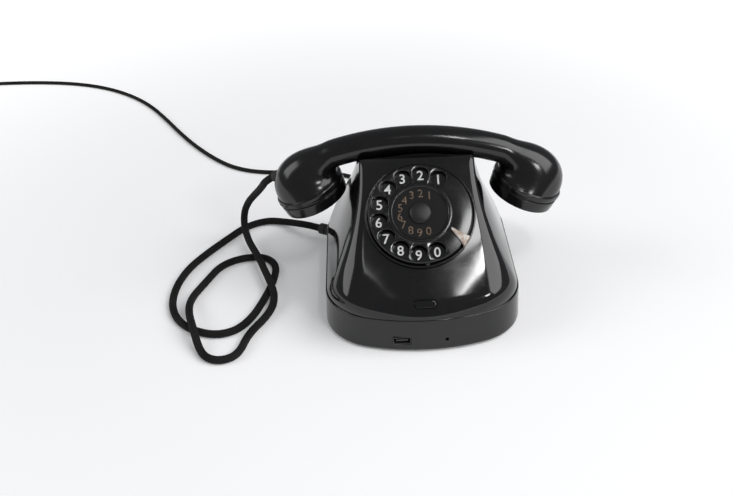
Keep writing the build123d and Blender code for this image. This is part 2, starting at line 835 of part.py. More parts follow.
# Screw cap with a bead round its rim, a tapering skirt and sound holes in its face
def screw_cap(plane, holes):
    cylinder_on(plane, bell_radius + ear_bead, 0, ear_bead_height)
    with BuildSketch(plane.offset(ear_bead_height)) as skirt_top:
        Circle(bell_radius + ear_bead / 2)
    with BuildSketch(plane.offset(ear_height)) as skirt_end:
        Circle(ear_end_radius)
    loft(sections=[skirt_top.sketch, skirt_end.sketch])
    cylinder_on(plane, bell_radius - bell_wall + 1, 0, ear_height - ear_face, Mode.SUBTRACT)
    with BuildSketch(plane.offset(ear_height - ear_face)) as pattern:
        Circle(sound_hole)
        with PolarLocations(sound_circle, holes):
            Circle(sound_hole)
    extrude(pattern.sketch, amount=ear_face, mode=Mode.SUBTRACT)


with BuildPart() as ear_cap:
    screw_cap(rim_plane(1), 6)
save(ear_cap, "ear_cap")

with BuildPart() as mouth_cap:
    screw_cap(rim_plane(-1), 9)
save(mouth_cap, "mouth_cap")

capsule_radius = bell_radius - bell_wall + 1 - loose
with BuildPart() as receiver_capsule:
    cylinder_on(rim_plane(1), capsule_radius, loose, loose + capsule_height)
    fillet(receiver_capsule.edges().filter_by(GeomType.CIRCLE), loose)
save(receiver_capsule, "receiver_capsule")

with BuildPart() as transmitter_capsule:
    cylinder_on(rim_plane(-1), capsule_radius, loose, loose + capsule_height)
    fillet(transmitter_capsule.edges().filter_by(GeomType.CIRCLE), loose)
save(transmitter_capsule, "transmitter_capsule")

with BuildPart() as capsule_contacts:
    for side in (-1, 1):
        cylinder_on(rim_plane(side), bell_floor / 2, -bell_depth, 0)
save(capsule_contacts, "capsule_contacts")

# Button in the chin with its spring and contact bracket
flange_top = -button_stem - loose
flange_base = flange_top - button_flange
with BuildPart() as push_button:
    with BuildSketch(button_plane.offset(flange_top)):
        SlotOverall(button_width, button_height)
    extrude(amount=-flange_top - button_sunk)
    fillet(push_button.faces().sort_by(Axis(button_plane.origin, button_normal))[-1].edges(), button_sunk)
    with BuildSketch(button_plane.offset(flange_base)):
        SlotOverall(button_width + 2 * button_flange_margin, button_height + 2 * button_flange_margin)
    extrude(amount=button_flange)
save(push_button, "push_button")

pad_top = flange_base - button_spring_length
with BuildPart() as button_spring:
    coil_at = button_height / 2 - button_wire
    wound(spring_points(button_plane, coil_at, pad_top, flange_base, button_wire, button_turns), button_wire)
save(button_spring, "button_spring")

pad_middle = button_plane.from_local_coords((0, 0, pad_top - sheet / 2))
with BuildPart() as button_bracket:
    with BuildSketch(button_plane.offset(pad_top - sheet)):
        Rectangle(button_width, 2 * button_height)
    extrude(amount=sheet)
    block(button_width, sheet, plate_top, pad_middle.Z, y=pad_middle.Y)
    block(button_width, button_height, plate_top, plate_top + sheet, y=pad_middle.Y + button_height / 2)
save(button_bracket, "button_bracket")

# Ringer: two gongs on posts, two coils on a yoke, and the clapper between them
gong_x = gong_radius + gong_gap / 2
with BuildPart() as gongs:
    for side in (-1, 1):
        spot = Plane(origin=(side * gong_x, gong_y, 0))
        cylinder_on(spot, gong_radius, gong_z, gong_z + gong_height)
    fillet(gongs.faces().group_by(Axis.Z)[-1].edges(), gong_height * 0.6)
    for side in (-1, 1):
        spot = Plane(origin=(side * gong_x, gong_y, 0))
        cylinder_on(spot, gong_radius - gong_wall, gong_z, gong_z + gong_height * 0.4, Mode.SUBTRACT)
        cylinder_on(
            spot, gong_radius * 0.7, gong_z, gong_z + gong_height - gong_wall, Mode.SUBTRACT
        )
        cylinder_on(spot, post_radius / 2 + slip, gong_z, gong_z + gong_height, Mode.SUBTRACT)
save(gongs, "gongs")

with BuildPart() as gong_posts:
    for side in (-1, 1):
        spot = Plane(origin=(side * gong_x, gong_y, 0))
        cylinder_on(spot, post_radius, plate_top, gong_z + gong_height - gong_wall)
        cylinder_on(spot, post_radius / 2, gong_z, gong_z + gong_height)
        cylinder_on(spot, post_radius, gong_z + gong_height, gong_z + gong_height + gong_wall)
save(gong_posts, "gong_posts")

yoke_top = plate_top + yoke_thickness
coil_top = yoke_top + coil_height
with BuildPart() as ringer_yoke:
    block(coil_spacing + 2 * coil_radius, 2 * coil_radius, plate_top, yoke_top, y=ringer_y)
    for side in (-1, 1):
        cylinder_on(Plane(origin=(side * coil_spacing / 2, ringer_y, 0)), core_radius, yoke_top, coil_top)
    cylinder_on(Plane(origin=(0, ringer_y, 0)), clapper_pin, yoke_top, coil_top + loose + armature_height)
save(ringer_yoke, "ringer_yoke")

with BuildPart() as ringer_coils:
    for side in (-1, 1):
        spot = Plane(origin=(side * coil_spacing / 2, ringer_y, 0))
        ring_on(spot, coil_radius, core_radius + slip, yoke_top, yoke_top + sheet)
        ring_on(spot, coil_radius - sheet, core_radius + slip, yoke_top, coil_top)
        ring_on(spot, coil_radius, core_radius + slip, coil_top - sheet, coil_top)
save(ringer_coils, "ringer_coils")

armature_base = coil_top + loose
ball_z = gong_z + gong_height * 0.25
with BuildPart() as clapper:
    block(coil_spacing, 2 * core_radius, armature_base, armature_base + armature_height, y=ringer_y)
    block(
        2 * clapper_arm,
        gong_y - ringer_y,
        armature_base,
        armature_base + armature_height,
        y=(gong_y + ringer_y) / 2,
    )
    cylinder_on(Plane(origin=(0, gong_y, 0)), clapper_arm, ball_z, armature_base + armature_height)
    with Locations((0, gong_y, ball_z)):
        Sphere(clapper_ball)
    cylinder_on(
        Plane(origin=(0, ringer_y, 0)),
        clapper_pin + slip,
        armature_base,
        armature_base + armature_height,
        Mode.SUBTRACT,
    )
save(clapper, "clapper")

# Speech parts on the base plate
induction_x = -44.0
induction_y = -42.0
induction_size = 26.0
with BuildPart() as induction_coil:
    block(
        induction_size * 1.3,
        induction_size,
        plate_top,
        plate_top + induction_size,
        induction_x,
        induction_y,
    )
    block(
        induction_size * 0.9,
        induction_size * 1.3,
        plate_top + induction_size * 0.2,
        plate_top + induction_size * 0.8,
        induction_x,
        induction_y,
    )
save(induction_coil, "induction_coil")

capacitor_x = 44.0
capacitor_length = 40.0
capacitor_width = 18.0
with BuildPart() as capacitor:
    block(
        capacitor_width, capacitor_length, plate_top, plate_top + capacitor_width, capacitor_x, induction_y
    )
    fillet(capacitor.edges().filter_by(Axis.Z), sheet)
save(capacitor, "capacitor")

terminal_inset = 18.0
terminal_y = plinth_rear - terminal_inset
terminal_width = 44.0
terminal_depth = 8.0
terminal_height = 14.0
terminal_count = 6
with BuildPart() as terminal_block:
    terminal_x = capacitor_x / 2
    block(terminal_width, terminal_depth, plate_top, plate_top + terminal_height, terminal_x, terminal_y)
save(terminal_block, "terminal_block")

with BuildPart() as terminal_screws:
    with BuildSketch(Plane.XY.offset(plate_top + terminal_height)):
        with Locations((terminal_x, terminal_y)):
            with GridLocations(terminal_width / terminal_count, 1, terminal_count, 1):
                Circle(terminal_depth / 4)
    extrude(amount=sheet)
save(terminal_screws, "terminal_screws")

# Charging board behind the plinth front
board_top = socket_z - socket_height / 2
board_base = board_top - board_thickness
board_y = board_front + board_depth / 2
with BuildPart() as charging_board:
    block(board_width, board_depth, board_base, board_top, y=board_y)
save(charging_board, "charging_board")

with BuildPart() as board_spacers:
    with BuildSketch(Plane.XY.offset(plate_top)):
        with Locations((0, board_y)):
            with GridLocations(board_width - 3 * sheet, board_depth - 3 * sheet, 2, 2):
                Circle(sheet)
    extrude(amount=board_base - plate_top)
save(board_spacers, "board_spacers")

with BuildPart() as charging_socket:
    with BuildSketch(Plane.XZ.offset(plinth_front - socket_inset - socket_length)):
        with Locations((socket_x, socket_z)):
            RectangleRounded(socket_width, socket_height, socket_wall)
    extrude(amount=socket_length)
    with BuildSketch(Plane.XZ.offset(plinth_front - socket_inset - socket_length + socket_wall)):
        with Locations((socket_x, socket_z)):
            RectangleRounded(socket_width - 2 * socket_wall, socket_height - 2 * socket_wall, socket_wall / 2)
    extrude(amount=socket_length, mode=Mode.SUBTRACT)
    with BuildSketch(Plane.XZ.offset(plinth_front - socket_inset - socket_length)):
        with Locations((socket_x, socket_z)):
            Rectangle(socket_width * 0.7, socket_height * 0.22)
    extrude(amount=socket_length - 2 * socket_wall)
save(charging_socket, "charging_socket")

lamp_back = -board_front - lamp_radius
with BuildPart() as indicator_lamp:
    with BuildSketch(Plane.XZ.offset(lamp_back)):
        with Locations((lamp_x, socket_z)):
            Circle(lamp_radius)
    extrude(amount=plinth_front - socket_inset - wall / 2 - lamp_back)
    block(2 * lamp_radius, 2 * lamp_radius, board_top, socket_z, x=lamp_x, y=board_front + lamp_radius)
save(indicator_lamp, "indicator_lamp")

# Cord collars of the housing
gland_face = rear_corner + gland_length
with BuildPart() as cord_gland:
    cylinder_on(gland_plane, gland_radius, rear_corner - 4 * wall, gland_face)
    cylinder_on(gland_plane, gland_radius + gland_flange, rear_corner - 4 * wall, rear_corner - 3 * wall)
    chamfer(cord_gland.faces().sort_by(Axis(gland_plane.origin, gland_direction))[-1].edges(), 0.8)
save(cord_gland, "cord_gland")

with BuildPart() as line_gland:
    cylinder_on(line_gland_plane, line_gland_radius, -2 * wall, line_gland_length / 2)
    cylinder_on(line_gland_plane, line_gland_radius + gland_flange, -3 * wall, -2 * wall)
    with BuildSketch(line_gland_plane.offset(line_gland_length / 2)):
        Circle(line_gland_radius)
    with BuildSketch(line_gland_plane.offset(line_gland_length)):
        Circle(line_cord * 0.75)
    loft()
save(line_gland, "line_gland")


# Corner radii of a cord's route: as large as the shorter run at each corner allows
def route_radii(points):
    radii = []
    for before, here, after in zip(points, points[1:], points[2:]):
        run_in = Vector(*here) - Vector(*before)
        run_out = Vector(*after) - Vector(*here)
        turn = run_in.get_angle(run_out)
        radii.append(0.45 * min(run_in.length, run_out.length) / tan(radians(turn / 2)))
    return radii


def cord_tube(name, points, diameter):
    radii = route_radii(points)
    with BuildLine() as route:
        FilletPolyline(*points, radius=radii)
    path = route.wires()[0]
    with BuildSketch(Plane(origin=path @ 0, z_dir=path % 0)) as section:
        Circle(diameter / 2)
    tube = sweep(section.sketch, path=path)
    share = tube.volume / (3.14159 * diameter**2 / 4 * path.length)
    print(name, "length", round(path.length, 1), "least radius", round(min(radii), 1))
    print(name, "volume share", round(share, 4))
    print(name, "radii", [round(radius) for radius in radii])


# Handset cord: from the collar round its loops on the table and up to the handset, over itself at crossings
cord_rest = handset_cord / 2
cord_over = 1.5 * handset_cord + 0.7
handset_route = [
    tuple(gland_plane.from_local_coords((0, 0, gland_face))),
    tuple(gland_plane.from_local_coords((0, 0, gland_face + 2 * handset_cord))),
    (-104, 91, 8),
    (-116, 101, 4.2),
    (-133, 107, cord_rest),
    (-152, 98, cord_rest),
    (-166, 79, cord_rest),
    (-182, 57, cord_rest),
    (-197, 32, cord_rest),
    (-204, 2, cord_rest),
    (-202, -26, cord_rest),
    (-190, -48, cord_rest),
    (-168, -61, cord_rest),
    (-149, -59, cord_rest),
    (-136, -43, cord_rest),
    (-127, -16, cord_rest),
    (-121, 10, cord_rest),
    (-120, 32, cord_rest),
    (-131, 46, cord_rest),
    (-151, 46, cord_rest),
    (-169, 35, cord_rest),
    (-178, 13, cord_rest),
    (-188, -11, cord_rest + 0.4),
    (-186, -38, cord_over),
    (-179, -61, cord_over),
    (-173, -79, cord_rest + 1),
    (-166, -89.5, cord_rest),
    (-154, -93, cord_rest),
    (-142, -86, cord_rest),
    (-137, -62, cord_rest),
    (-123, -39, cord_rest),
    (-118, -22, cord_rest + 2),
    (-121, -8, cord_over),
    (-127, 10, cord_over),
    (-134, 32, cord_over),
    (-143, 54, cord_over),
    (-147.5, 68, cord_over - 0.5),
    (-151, 79.5, 14.5),
    (-150, 84.5, 27),
    (-144.5, 80, 39.5),
    (-138.5, 70.5, 51),
    (-134, 60, 63.5),
    (-130.5, 50, 75),
    tuple(grommet_mouth + grommet_direction * 2.2 * handset_cord),
    tuple(grommet_mouth),
]
with BuildPart() as handset_cord_tube:
    cord_tube("handset cord", handset_route, handset_cord)
save(handset_cord_tube, "handset_cord")

# Line cord: out of the back of the housing, along the table to the left and into its coil
line_rest = line_cord / 2 + 0.05
coil_x, coil_y = coil_centre
line_start = line_gland_plane.from_local_coords((0, 0, line_gland_length))
coil_lead = line_cord
line_route = [
    tuple(line_start),
    tuple(line_start + Vector(0, 3 * line_cord, 0)),
    (-21, 132, 6),
    (-27, 152, line_rest),
    (-40, 173, line_rest),
    (-62, 190, line_rest),
    (-92, 198, line_rest),
    (-124, 200, line_rest),
    (-152, 204, line_rest),
    (-176, 216, line_rest),
    (-198, 238, line_rest),
    (-221, 268, line_rest),
    (-243, 303, line_rest),
    (-264, 340, line_rest),
    (-287, 377, line_rest),
    (-316, 410, line_rest),
    (-352, 437, line_rest),
    (-394, 455, line_rest),
    (-440, 464, line_rest),
    (-486, 467, line_rest),
    (-530, coil_y - coil_outer, line_rest),
    (coil_x + coil_lead, coil_y - coil_outer, line_rest),
]
with BuildPart() as line_cord_tube:
    cord_tube("line cord", line_route, line_cord)
save(line_cord_tube, "line_cord")

# Coil of the rest of the line cord: spirals in on the table, climbs, and spirals out again on top
upper_rest = line_rest + coil_layer
half_count = 2 * coil_turns
lower = [coil_outer - coil_pitch * step / 2 for step in range(half_count + 1)]
coil_points = [(coil_x, coil_y - (-1) ** step * r, line_rest) for step, r in enumerate(lower)]
coil_points += [
    (coil_x, coil_y + (-1) ** step * r, upper_rest) for step, r in enumerate(reversed(lower[1:]))
]
coil_points.append((coil_x, coil_y + coil_outer + plug_radius, plug_radius + loose))
with BuildPart() as line_coil:
    with BuildLine() as winding:
        Line((coil_x + coil_lead, coil_y - coil_outer, line_rest), coil_points[0])
        half_turns(coil_points)
        coil_end = Vector(*coil_points[-1]) + Vector(coil_lead, 0, 0)
        Line(coil_points[-1], coil_end)
    winding_path = winding.wires()[0]
    with BuildSketch(Plane(origin=winding_path @ 0, z_dir=winding_path % 0)):
        Circle(line_cord / 2)
    sweep(path=winding_path)
save(line_coil, "line_coil")

# Least distance of the coil to itself, on points more than three diameters apart along it
samples = [winding_path @ (index / 900) for index in range(901)]
apart = int(3 * line_cord / winding_path.length * 900) + 1
least = min(
    (samples[i] - samples[j]).length for i in range(len(samples)) for j in range(i + apart, len(samples))
)
print("coil length", round(winding_path.length, 1), "least gap to itself", round(least - line_cord, 2))

# Tie round one side of the coil, and the plug on the end of the cord
tie_inner = coil_outer - coil_turns * coil_pitch - line_cord
tie_outer = coil_outer + line_cord
tie_top = upper_rest + line_cord / 2 + loose
with BuildPart() as cord_tie:
    block(
        tie_outer - tie_inner + 2 * tie_thickness,
        tie_width,
        0,
        tie_top + tie_thickness,
        coil_x - (tie_inner + tie_outer) / 2,
        coil_y,
    )
    tie_x = coil_x - (tie_inner + tie_outer) / 2
    block(tie_outer - tie_inner, tie_width, 0, tie_top, tie_x, coil_y, Mode.SUBTRACT)
save(cord_tie, "cord_tie")

plug_plane = Plane(origin=coil_end, x_dir=(0, 1, 0), z_dir=(1, 0, 0))
with BuildPart() as plug_body:
    with BuildSketch(plug_plane):
        Circle(line_cord)
    with BuildSketch(plug_plane.offset(plug_length / 2)):
        Circle(plug_radius)
    loft()
    cylinder_on(plug_plane, plug_radius, plug_length / 2, plug_length)
save(plug_body, "plug_body")

with BuildPart() as plug_pins:
    with BuildSketch(plug_plane.offset(plug_length)):
        with GridLocations(pin_spacing, 1, 2, 1):
            Circle(pin_radius)
    extrude(amount=pin_length)
save(plug_pins, "plug_pins")
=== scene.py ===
from math import cos, pi, radians, sin, sqrt, tan

import bmesh
import bpy
import numpy as np
from mathutils import Matrix, Vector


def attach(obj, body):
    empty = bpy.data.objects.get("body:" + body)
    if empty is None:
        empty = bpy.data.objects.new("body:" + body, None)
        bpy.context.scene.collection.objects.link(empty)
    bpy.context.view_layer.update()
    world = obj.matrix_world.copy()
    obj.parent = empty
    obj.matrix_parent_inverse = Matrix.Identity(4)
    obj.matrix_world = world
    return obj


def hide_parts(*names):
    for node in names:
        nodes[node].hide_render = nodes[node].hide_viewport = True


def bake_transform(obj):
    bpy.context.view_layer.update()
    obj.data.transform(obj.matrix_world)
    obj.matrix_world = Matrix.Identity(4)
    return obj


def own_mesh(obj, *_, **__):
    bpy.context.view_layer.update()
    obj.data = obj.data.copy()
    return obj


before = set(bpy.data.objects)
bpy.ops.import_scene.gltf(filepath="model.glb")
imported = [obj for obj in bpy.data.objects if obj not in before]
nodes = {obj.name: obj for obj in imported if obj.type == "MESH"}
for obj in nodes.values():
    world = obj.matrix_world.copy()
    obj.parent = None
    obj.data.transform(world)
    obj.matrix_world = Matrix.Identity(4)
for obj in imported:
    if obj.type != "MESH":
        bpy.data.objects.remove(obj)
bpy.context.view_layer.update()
mm = 0.001  # sizes below are in millimetres and angles in degrees, apart from the camera's and the studio's
print("frame loaded:", len(nodes), "nodes")


def addObject(name, data):
    made = bpy.data.objects.new(name, data)
    bpy.context.scene.collection.objects.link(made)
    return made


# camera, as it stood for the photograph
viewpoint = {
    "place": (-37.76, -644.37, 459.50), "turn": -0.0065787, "down": 0.5799801, "roll": -0.0505077,
    "lens": 46.565, "sensor": 36, "farthest": 50,
}


def setCamera():
    # looks along its turn and downward angle, then rolls about the line of sight
    turn, down, roll = viewpoint["turn"], viewpoint["down"], viewpoint["roll"]
    ahead = Vector((sin(turn) * cos(down), cos(turn) * cos(down), -sin(down)))
    right = Vector((cos(turn), -sin(turn), 0))
    up = right.cross(ahead)
    across = right * cos(roll) + up * sin(roll)
    upward = up * cos(roll) - right * sin(roll)
    data = bpy.data.cameras.new("camera")
    data.sensor_fit, data.sensor_width, data.lens = "HORIZONTAL", viewpoint["sensor"], viewpoint["lens"]
    data.clip_end = viewpoint["farthest"]
    camera = addObject("camera", data)
    axes = Matrix((across, upward, -ahead)).transposed().to_4x4()
    camera.matrix_world = Matrix.Translation(Vector(viewpoint["place"]) * mm) @ axes
    bpy.context.scene.camera = camera


setCamera()
print("camera set")


# surfaces: every piece is a grid of points joined into a mesh
def unit(rows):
    return rows / np.linalg.norm(rows, axis=-1, keepdims=True)


def shares(count):
    return np.linspace(0, 1, count)


def fullTurn(count):
    return np.linspace(0, 2 * pi, count, endpoint=False)


def blunted(value, power):
    # a power that keeps the sign: sines and cosines so changed draw a superellipse
    return np.sign(value) * np.abs(value) ** power


def evaluatedMesh(source):
    graph = bpy.context.evaluated_depsgraph_get()
    return bpy.data.meshes.new_from_object(source.evaluated_get(graph))


def meshPoints(mesh):
    points = np.empty(len(mesh.vertices) * 3)
    mesh.vertices.foreach_get("co", points)
    return points.reshape(-1, 3)


def gridFaces(rows, cols, wrapRows, wrapCols):
    # quads between neighbouring grid points, the last row or column joined to the first where wrapped
    down = np.arange(rows if wrapRows else rows - 1)
    over = np.arange(cols if wrapCols else cols - 1)
    i, j = (index.ravel() for index in np.meshgrid(down, over, indexing="ij"))
    below, beside = (i + 1) % rows, (j + 1) % cols
    return np.stack([i * cols + j, i * cols + beside, below * cols + beside, below * cols + j], 1)


def gridMesh(name, grid, wrapRows=False, wrapCols=True, uv=None):
    # grid: an array of rows x columns x 3, in millimetres
    faces = gridFaces(*grid.shape[:2], wrapRows, wrapCols)
    mesh = bpy.data.meshes.new(name)
    mesh.vertices.add(grid.size // 3)
    mesh.vertices.foreach_set("co", grid.ravel() * mm)
    mesh.loops.add(faces.size)
    mesh.loops.foreach_set("vertex_index", faces.ravel().astype(np.int32))
    mesh.polygons.add(len(faces))
    mesh.polygons.foreach_set("loop_start", np.arange(0, faces.size, 4, dtype=np.int32))
    mesh.update(calc_edges=True)
    if uv is not None:
        layer = mesh.uv_layers.new(name="UVMap")
        layer.data.foreach_set("uv", uv.reshape(-1, 2)[faces.ravel()].ravel())
    return mesh


def poleRow(row):
    # a row drawn in to its middle, which closes the end of a grid
    return np.broadcast_to(row.mean(0), row.shape)[None]


def closedEnds(grid):
    return np.concatenate([poleRow(grid[0]), grid, poleRow(grid[-1])])


def cleaned(mesh, sharp=32, turnOut=True):
    # merge poles and seams, point the faces outwards, keep edges above the angle sharp
    work = bmesh.new()
    work.from_mesh(mesh)
    bmesh.ops.remove_doubles(work, verts=work.verts, dist=1e-6)
    bmesh.ops.dissolve_degenerate(work, edges=work.edges, dist=1e-7)
    if turnOut:
        bmesh.ops.recalc_face_normals(work, faces=work.faces)
    work.to_mesh(mesh)
    work.free()
    mesh.shade_smooth()
    mesh.set_sharp_from_angle(angle=radians(sharp))
    return mesh


def place(name, mesh, finish, body, *stands):
    piece = addObject(name, mesh)
    mesh.materials.clear()
    mesh.materials.append(finish)
    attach(piece, body)
    if stands:
        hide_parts(*stands)
    return piece


class Plane:
    # a local frame: origin, two directions in the plane and its normal
    def __init__(self, origin, normal, across):
        self.origin = np.array(origin, float)
        self.z = unit(np.array(normal, float))
        across = np.array(across, float)
        self.x = unit(across - self.z * (across @ self.z))
        self.y = np.cross(self.z, self.x)

    def at(self, x, y, z):
        x, y, z = np.broadcast_arrays(np.asarray(x, float), y, z)
        return self.origin + x[..., None] * self.x + y[..., None] * self.y + z[..., None] * self.z


def rounded(corners, radius, steps=6):
    # polyline whose inner corners become parabolas tangent to both runs, each reaching half a run at most
    corners = np.array(corners, float)
    before, here, after = corners[:-2], corners[1:-1], corners[2:]
    inward, outward = unit(before - here), unit(after - here)
    shorter = np.minimum(np.linalg.norm(before - here, axis=1), np.linalg.norm(after - here, axis=1))
    half = np.arccos(np.clip((inward * outward).sum(1), -1, 1)) / 2
    reach = np.minimum(np.asarray(radius, float) / np.tan(half), 0.49 * shorter)[:, None]
    start, end = here + inward * reach, here + outward * reach
    t = shares(steps)[:, None, None]
    bend = (1 - t) ** 2 * start + 2 * t * (1 - t) * here + t**2 * end
    points = bend.transpose(1, 0, 2).reshape(-1, corners.shape[1])
    return np.concatenate([corners[:1], points, corners[-1:]])


def lathe(plane, profile, steps=128):
    # profile of (radius, height) turned about the plane's normal
    angle = fullTurn(steps)
    radius, height = profile[:, :1], profile[:, 1:]
    return plane.at(radius * np.cos(angle), radius * np.sin(angle), height + 0 * angle)


def drum(plane, radius, low, high, steps):
    # closed cylinder between two heights on the plane's normal
    return lathe(plane, np.array([(0, low), (radius, low), (radius, high), (0, high)], float), steps)


def ovalRing(width, height, inset, count=24):
    # stadium outline: two half circles joined by straight sides, shrunk by inset (an array of rows)
    straight = (width - height) / 2
    right = np.linspace(-pi / 2, pi / 2, count)
    left = right + pi
    radius = height / 2 - np.asarray(inset, float)[:, None]
    x = np.concatenate([straight + radius * np.cos(right), -straight + radius * np.cos(left)], 1)
    y = np.concatenate([radius * np.sin(right), radius * np.sin(left)], 1)
    return x, y


def carve(mesh, cutters):
    # boolean difference with every cutter at once, kept as a plain mesh
    name = mesh.name
    piece = addObject("carved", mesh)
    group = bpy.data.collections.new("cutters")
    bpy.context.scene.collection.children.link(group)
    tools = []
    for index, grid in enumerate(cutters):
        tool = bpy.data.objects.new(f"cutter{index}", cleaned(gridMesh("cutter", grid)))
        group.objects.link(tool)
        tools.append(tool)
    cut = piece.modifiers.new("cut", "BOOLEAN")
    cut.operation, cut.solver, cut.operand_type, cut.collection = "DIFFERENCE", "EXACT", "COLLECTION", group
    result = evaluatedMesh(piece)
    for old in [piece] + tools:
        data = old.data
        bpy.data.objects.remove(old)
        bpy.data.meshes.remove(data)
    bpy.data.collections.remove(group)
    result.materials.clear()
    result.name = name
    return result


# finishes: dark mouldings, worn plating, ink, braid and the plain ones inside
class Wire:
    # one socket of a material; operators add Math nodes
    def __init__(self, tree, socket=None):
        self.tree, self.socket = tree, socket

    def node(self, kind, settings=None, inputs=None, out=0):
        # the settings are set first, then the values or links of the sockets
        made = self.tree.nodes.new(kind)
        for key, value in (settings or {}).items():
            setattr(made, key, value)
        for key, value in (inputs or {}).items():
            if isinstance(value, Wire):
                self.tree.links.new(value.socket, made.inputs[key])
            else:
                made.inputs[key].default_value = value
        return Wire(self.tree, made.outputs[out])

    def math(self, operation, first, second=0.0):
        return self.node("ShaderNodeMath", {"operation": operation}, {0: first, 1: second})

    def __add__(self, other):
        return self.math("ADD", self, other)

    def __radd__(self, other):
        return self.math("ADD", other, self)

    def __sub__(self, other):
        return self.math("SUBTRACT", self, other)

    def __rsub__(self, other):
        return self.math("SUBTRACT", other, self)

    def __mul__(self, other):
        return self.math("MULTIPLY", self, other)

    def __rmul__(self, other):
        return self.math("MULTIPLY", other, self)

    def sine(self):
        return self.math("SINE", self)

    def size(self):
        return self.math("ABSOLUTE", self)

    def between(self, low, high, outLow=0.0, outHigh=1.0):
        ends = {"From Min": low, "From Max": high, "To Min": outLow, "To Max": outHigh}
        return self.node("ShaderNodeMapRange", {"interpolation_type": "SMOOTHSTEP"}, {"Value": self, **ends})

    def blendTones(self, first, second):
        first, second = (tone if isinstance(tone, Wire) else (*tone, 1) for tone in (first, second))
        return self.node("ShaderNodeMix", {"data_type": "RGBA"}, {0: self, 6: first, 7: second}, 2)

    def noise(self, where, scale, detail, roughness=0.5):
        look = {"Scale": scale, "Detail": detail, "Roughness": roughness}
        return self.node("ShaderNodeTexNoise", {}, {"Vector": where, **look})

    def stretched(self, where, turn, scale):
        return self.node("ShaderNodeMapping", {}, {"Vector": where, "Rotation": turn, "Scale": scale})

    def bump(self, strength, distance, height):
        return self.node("ShaderNodeBump", {}, {"Strength": strength, "Distance": distance, "Height": height})


def finishOf(name, paint, **fixed):
    # a Principled material: paint(wire, coordinates) gives the varying sockets, fixed the constant ones
    material = bpy.data.materials.new(name)
    material.use_nodes = True
    tree = material.node_tree
    shader = tree.nodes["Principled BSDF"]
    for socket, value in fixed.items():
        shader.inputs[socket.replace("_", " ")].default_value = value
    wire = Wire(tree)
    where = wire.node("ShaderNodeTexCoord", out="Object")
    for socket, value in paint(wire, where).items():
        tree.links.new(value.socket, shader.inputs[socket])
    return material


moulding = {
    "dark": (0.0045, 0.0045, 0.0048), "worn": (0.011, 0.0105, 0.01), "dusty": (0.05, 0.047, 0.043),
    "haze": 0.07, "scratch": 0.35, "peel": 0.00002, "refraction": 1.52,
    "cloudScale": 18, "rubScale": 75, "dustScale": 1100, "waveScale": 60,
    # hairlines: turn, stretch and the noise level at which they start
    "hairs": [((0.4, 0.2, 0.5), (30, 900, 900), 0.66), ((1.1, 0.7, 2.1), (800, 40, 900), 0.67)],
}


def mouldedBlack(name, gloss):
    # pressed resin: deep black with cloudy wear, hairline scratches and specks of dust, slightly wavy
    m = moulding

    def paint(wire, where):
        cloud = wire.noise(where, m["cloudScale"], 4, 0.6)
        rub = wire.noise(where, m["rubScale"], 6, 0.65)
        hairs = [wire.noise(wire.stretched(where, turn, stretch), 1, 2).between(start, 0.72)
                 for turn, stretch, start in m["hairs"]]
        dust = wire.noise(where, m["dustScale"], 1).between(0.74, 0.8)
        hair = (hairs[0] + hairs[1]) * m["scratch"]
        worn = cloud.between(0.45, 0.75) * 0.6 + rub.between(0.5, 0.8) * 0.4
        tone = worn.blendTones(m["dark"], m["worn"])
        tone = (dust * 0.35).blendTones(tone, m["dusty"])
        rough = gloss + worn * m["haze"] + hair * 0.14 + dust * 0.15
        height = wire.noise(where, m["waveScale"], 2) + hair * -0.15 + dust * 0.2
        return {"Base Color": tone, "Roughness": rough, "Normal": wire.bump(0.5, m["peel"], height)}
    return finishOf(name, paint, IOR=m["refraction"])


def plainFinish(name, tone, second, rough, metal=0.0, grain=120, shine=0.5):
    # a simple finish that drifts between two tones, with a fine grain
    def paint(wire, where):
        drift = wire.noise(where, grain / 6, 3)
        fine = wire.noise(where, grain * 8, 2)
        colour = drift.between(0.35, 0.65).blendTones(tone, second)
        relief = wire.bump(0.4, 0.00003, fine)
        return {"Base Color": colour, "Roughness": rough + (drift - 0.5) * 0.2, "Normal": relief}
    return finishOf(name, paint, Metallic=metal, Specular_IOR_Level=shine)


plating = {
    "bright": (0.56, 0.53, 0.5), "rubbed": (0.36, 0.27, 0.21), "pitted": (0.12, 0.08, 0.06),
    "patchScale": 210, "pitScale": 1500, "pitDepth": 0.00004, "rough": 0.42, "metal": 0.55,
}


def wornNickel(name):
    # plating rubbed through to brass in patches, dull with fine pits
    p = plating

    def paint(wire, where):
        pit = wire.noise(where, p["pitScale"], 2)
        bare = wire.noise(where, p["patchScale"], 5, 0.7).between(0.42, 0.6)
        tone = bare.blendTones(p["bright"], p["rubbed"])
        tone = pit.between(0.62, 0.72).blendTones(tone, p["pitted"])
        relief = wire.bump(0.5, p["pitDepth"], pit)
        return {"Base Color": tone, "Roughness": p["rough"] + bare * 0.2, "Normal": relief}
    return finishOf(name, paint, Metallic=p["metal"])


def printed(name, tone, under, wear, scale):
    # printed figure whose ink is rubbed away in specks
    def paint(wire, where):
        rub = wire.noise(where, scale, 5, 0.7)
        colour = rub.between(wear, wear + 0.12).blendTones(tone, under)
        return {"Base Color": colour, "Roughness": 0.5 + rub * 0.2}
    return finishOf(name, paint)


braid = {"strands": 9, "fuzzScale": 2600, "driftScale": 45, "depth": 0.00025, "rough": 0.72, "shine": 0.2}


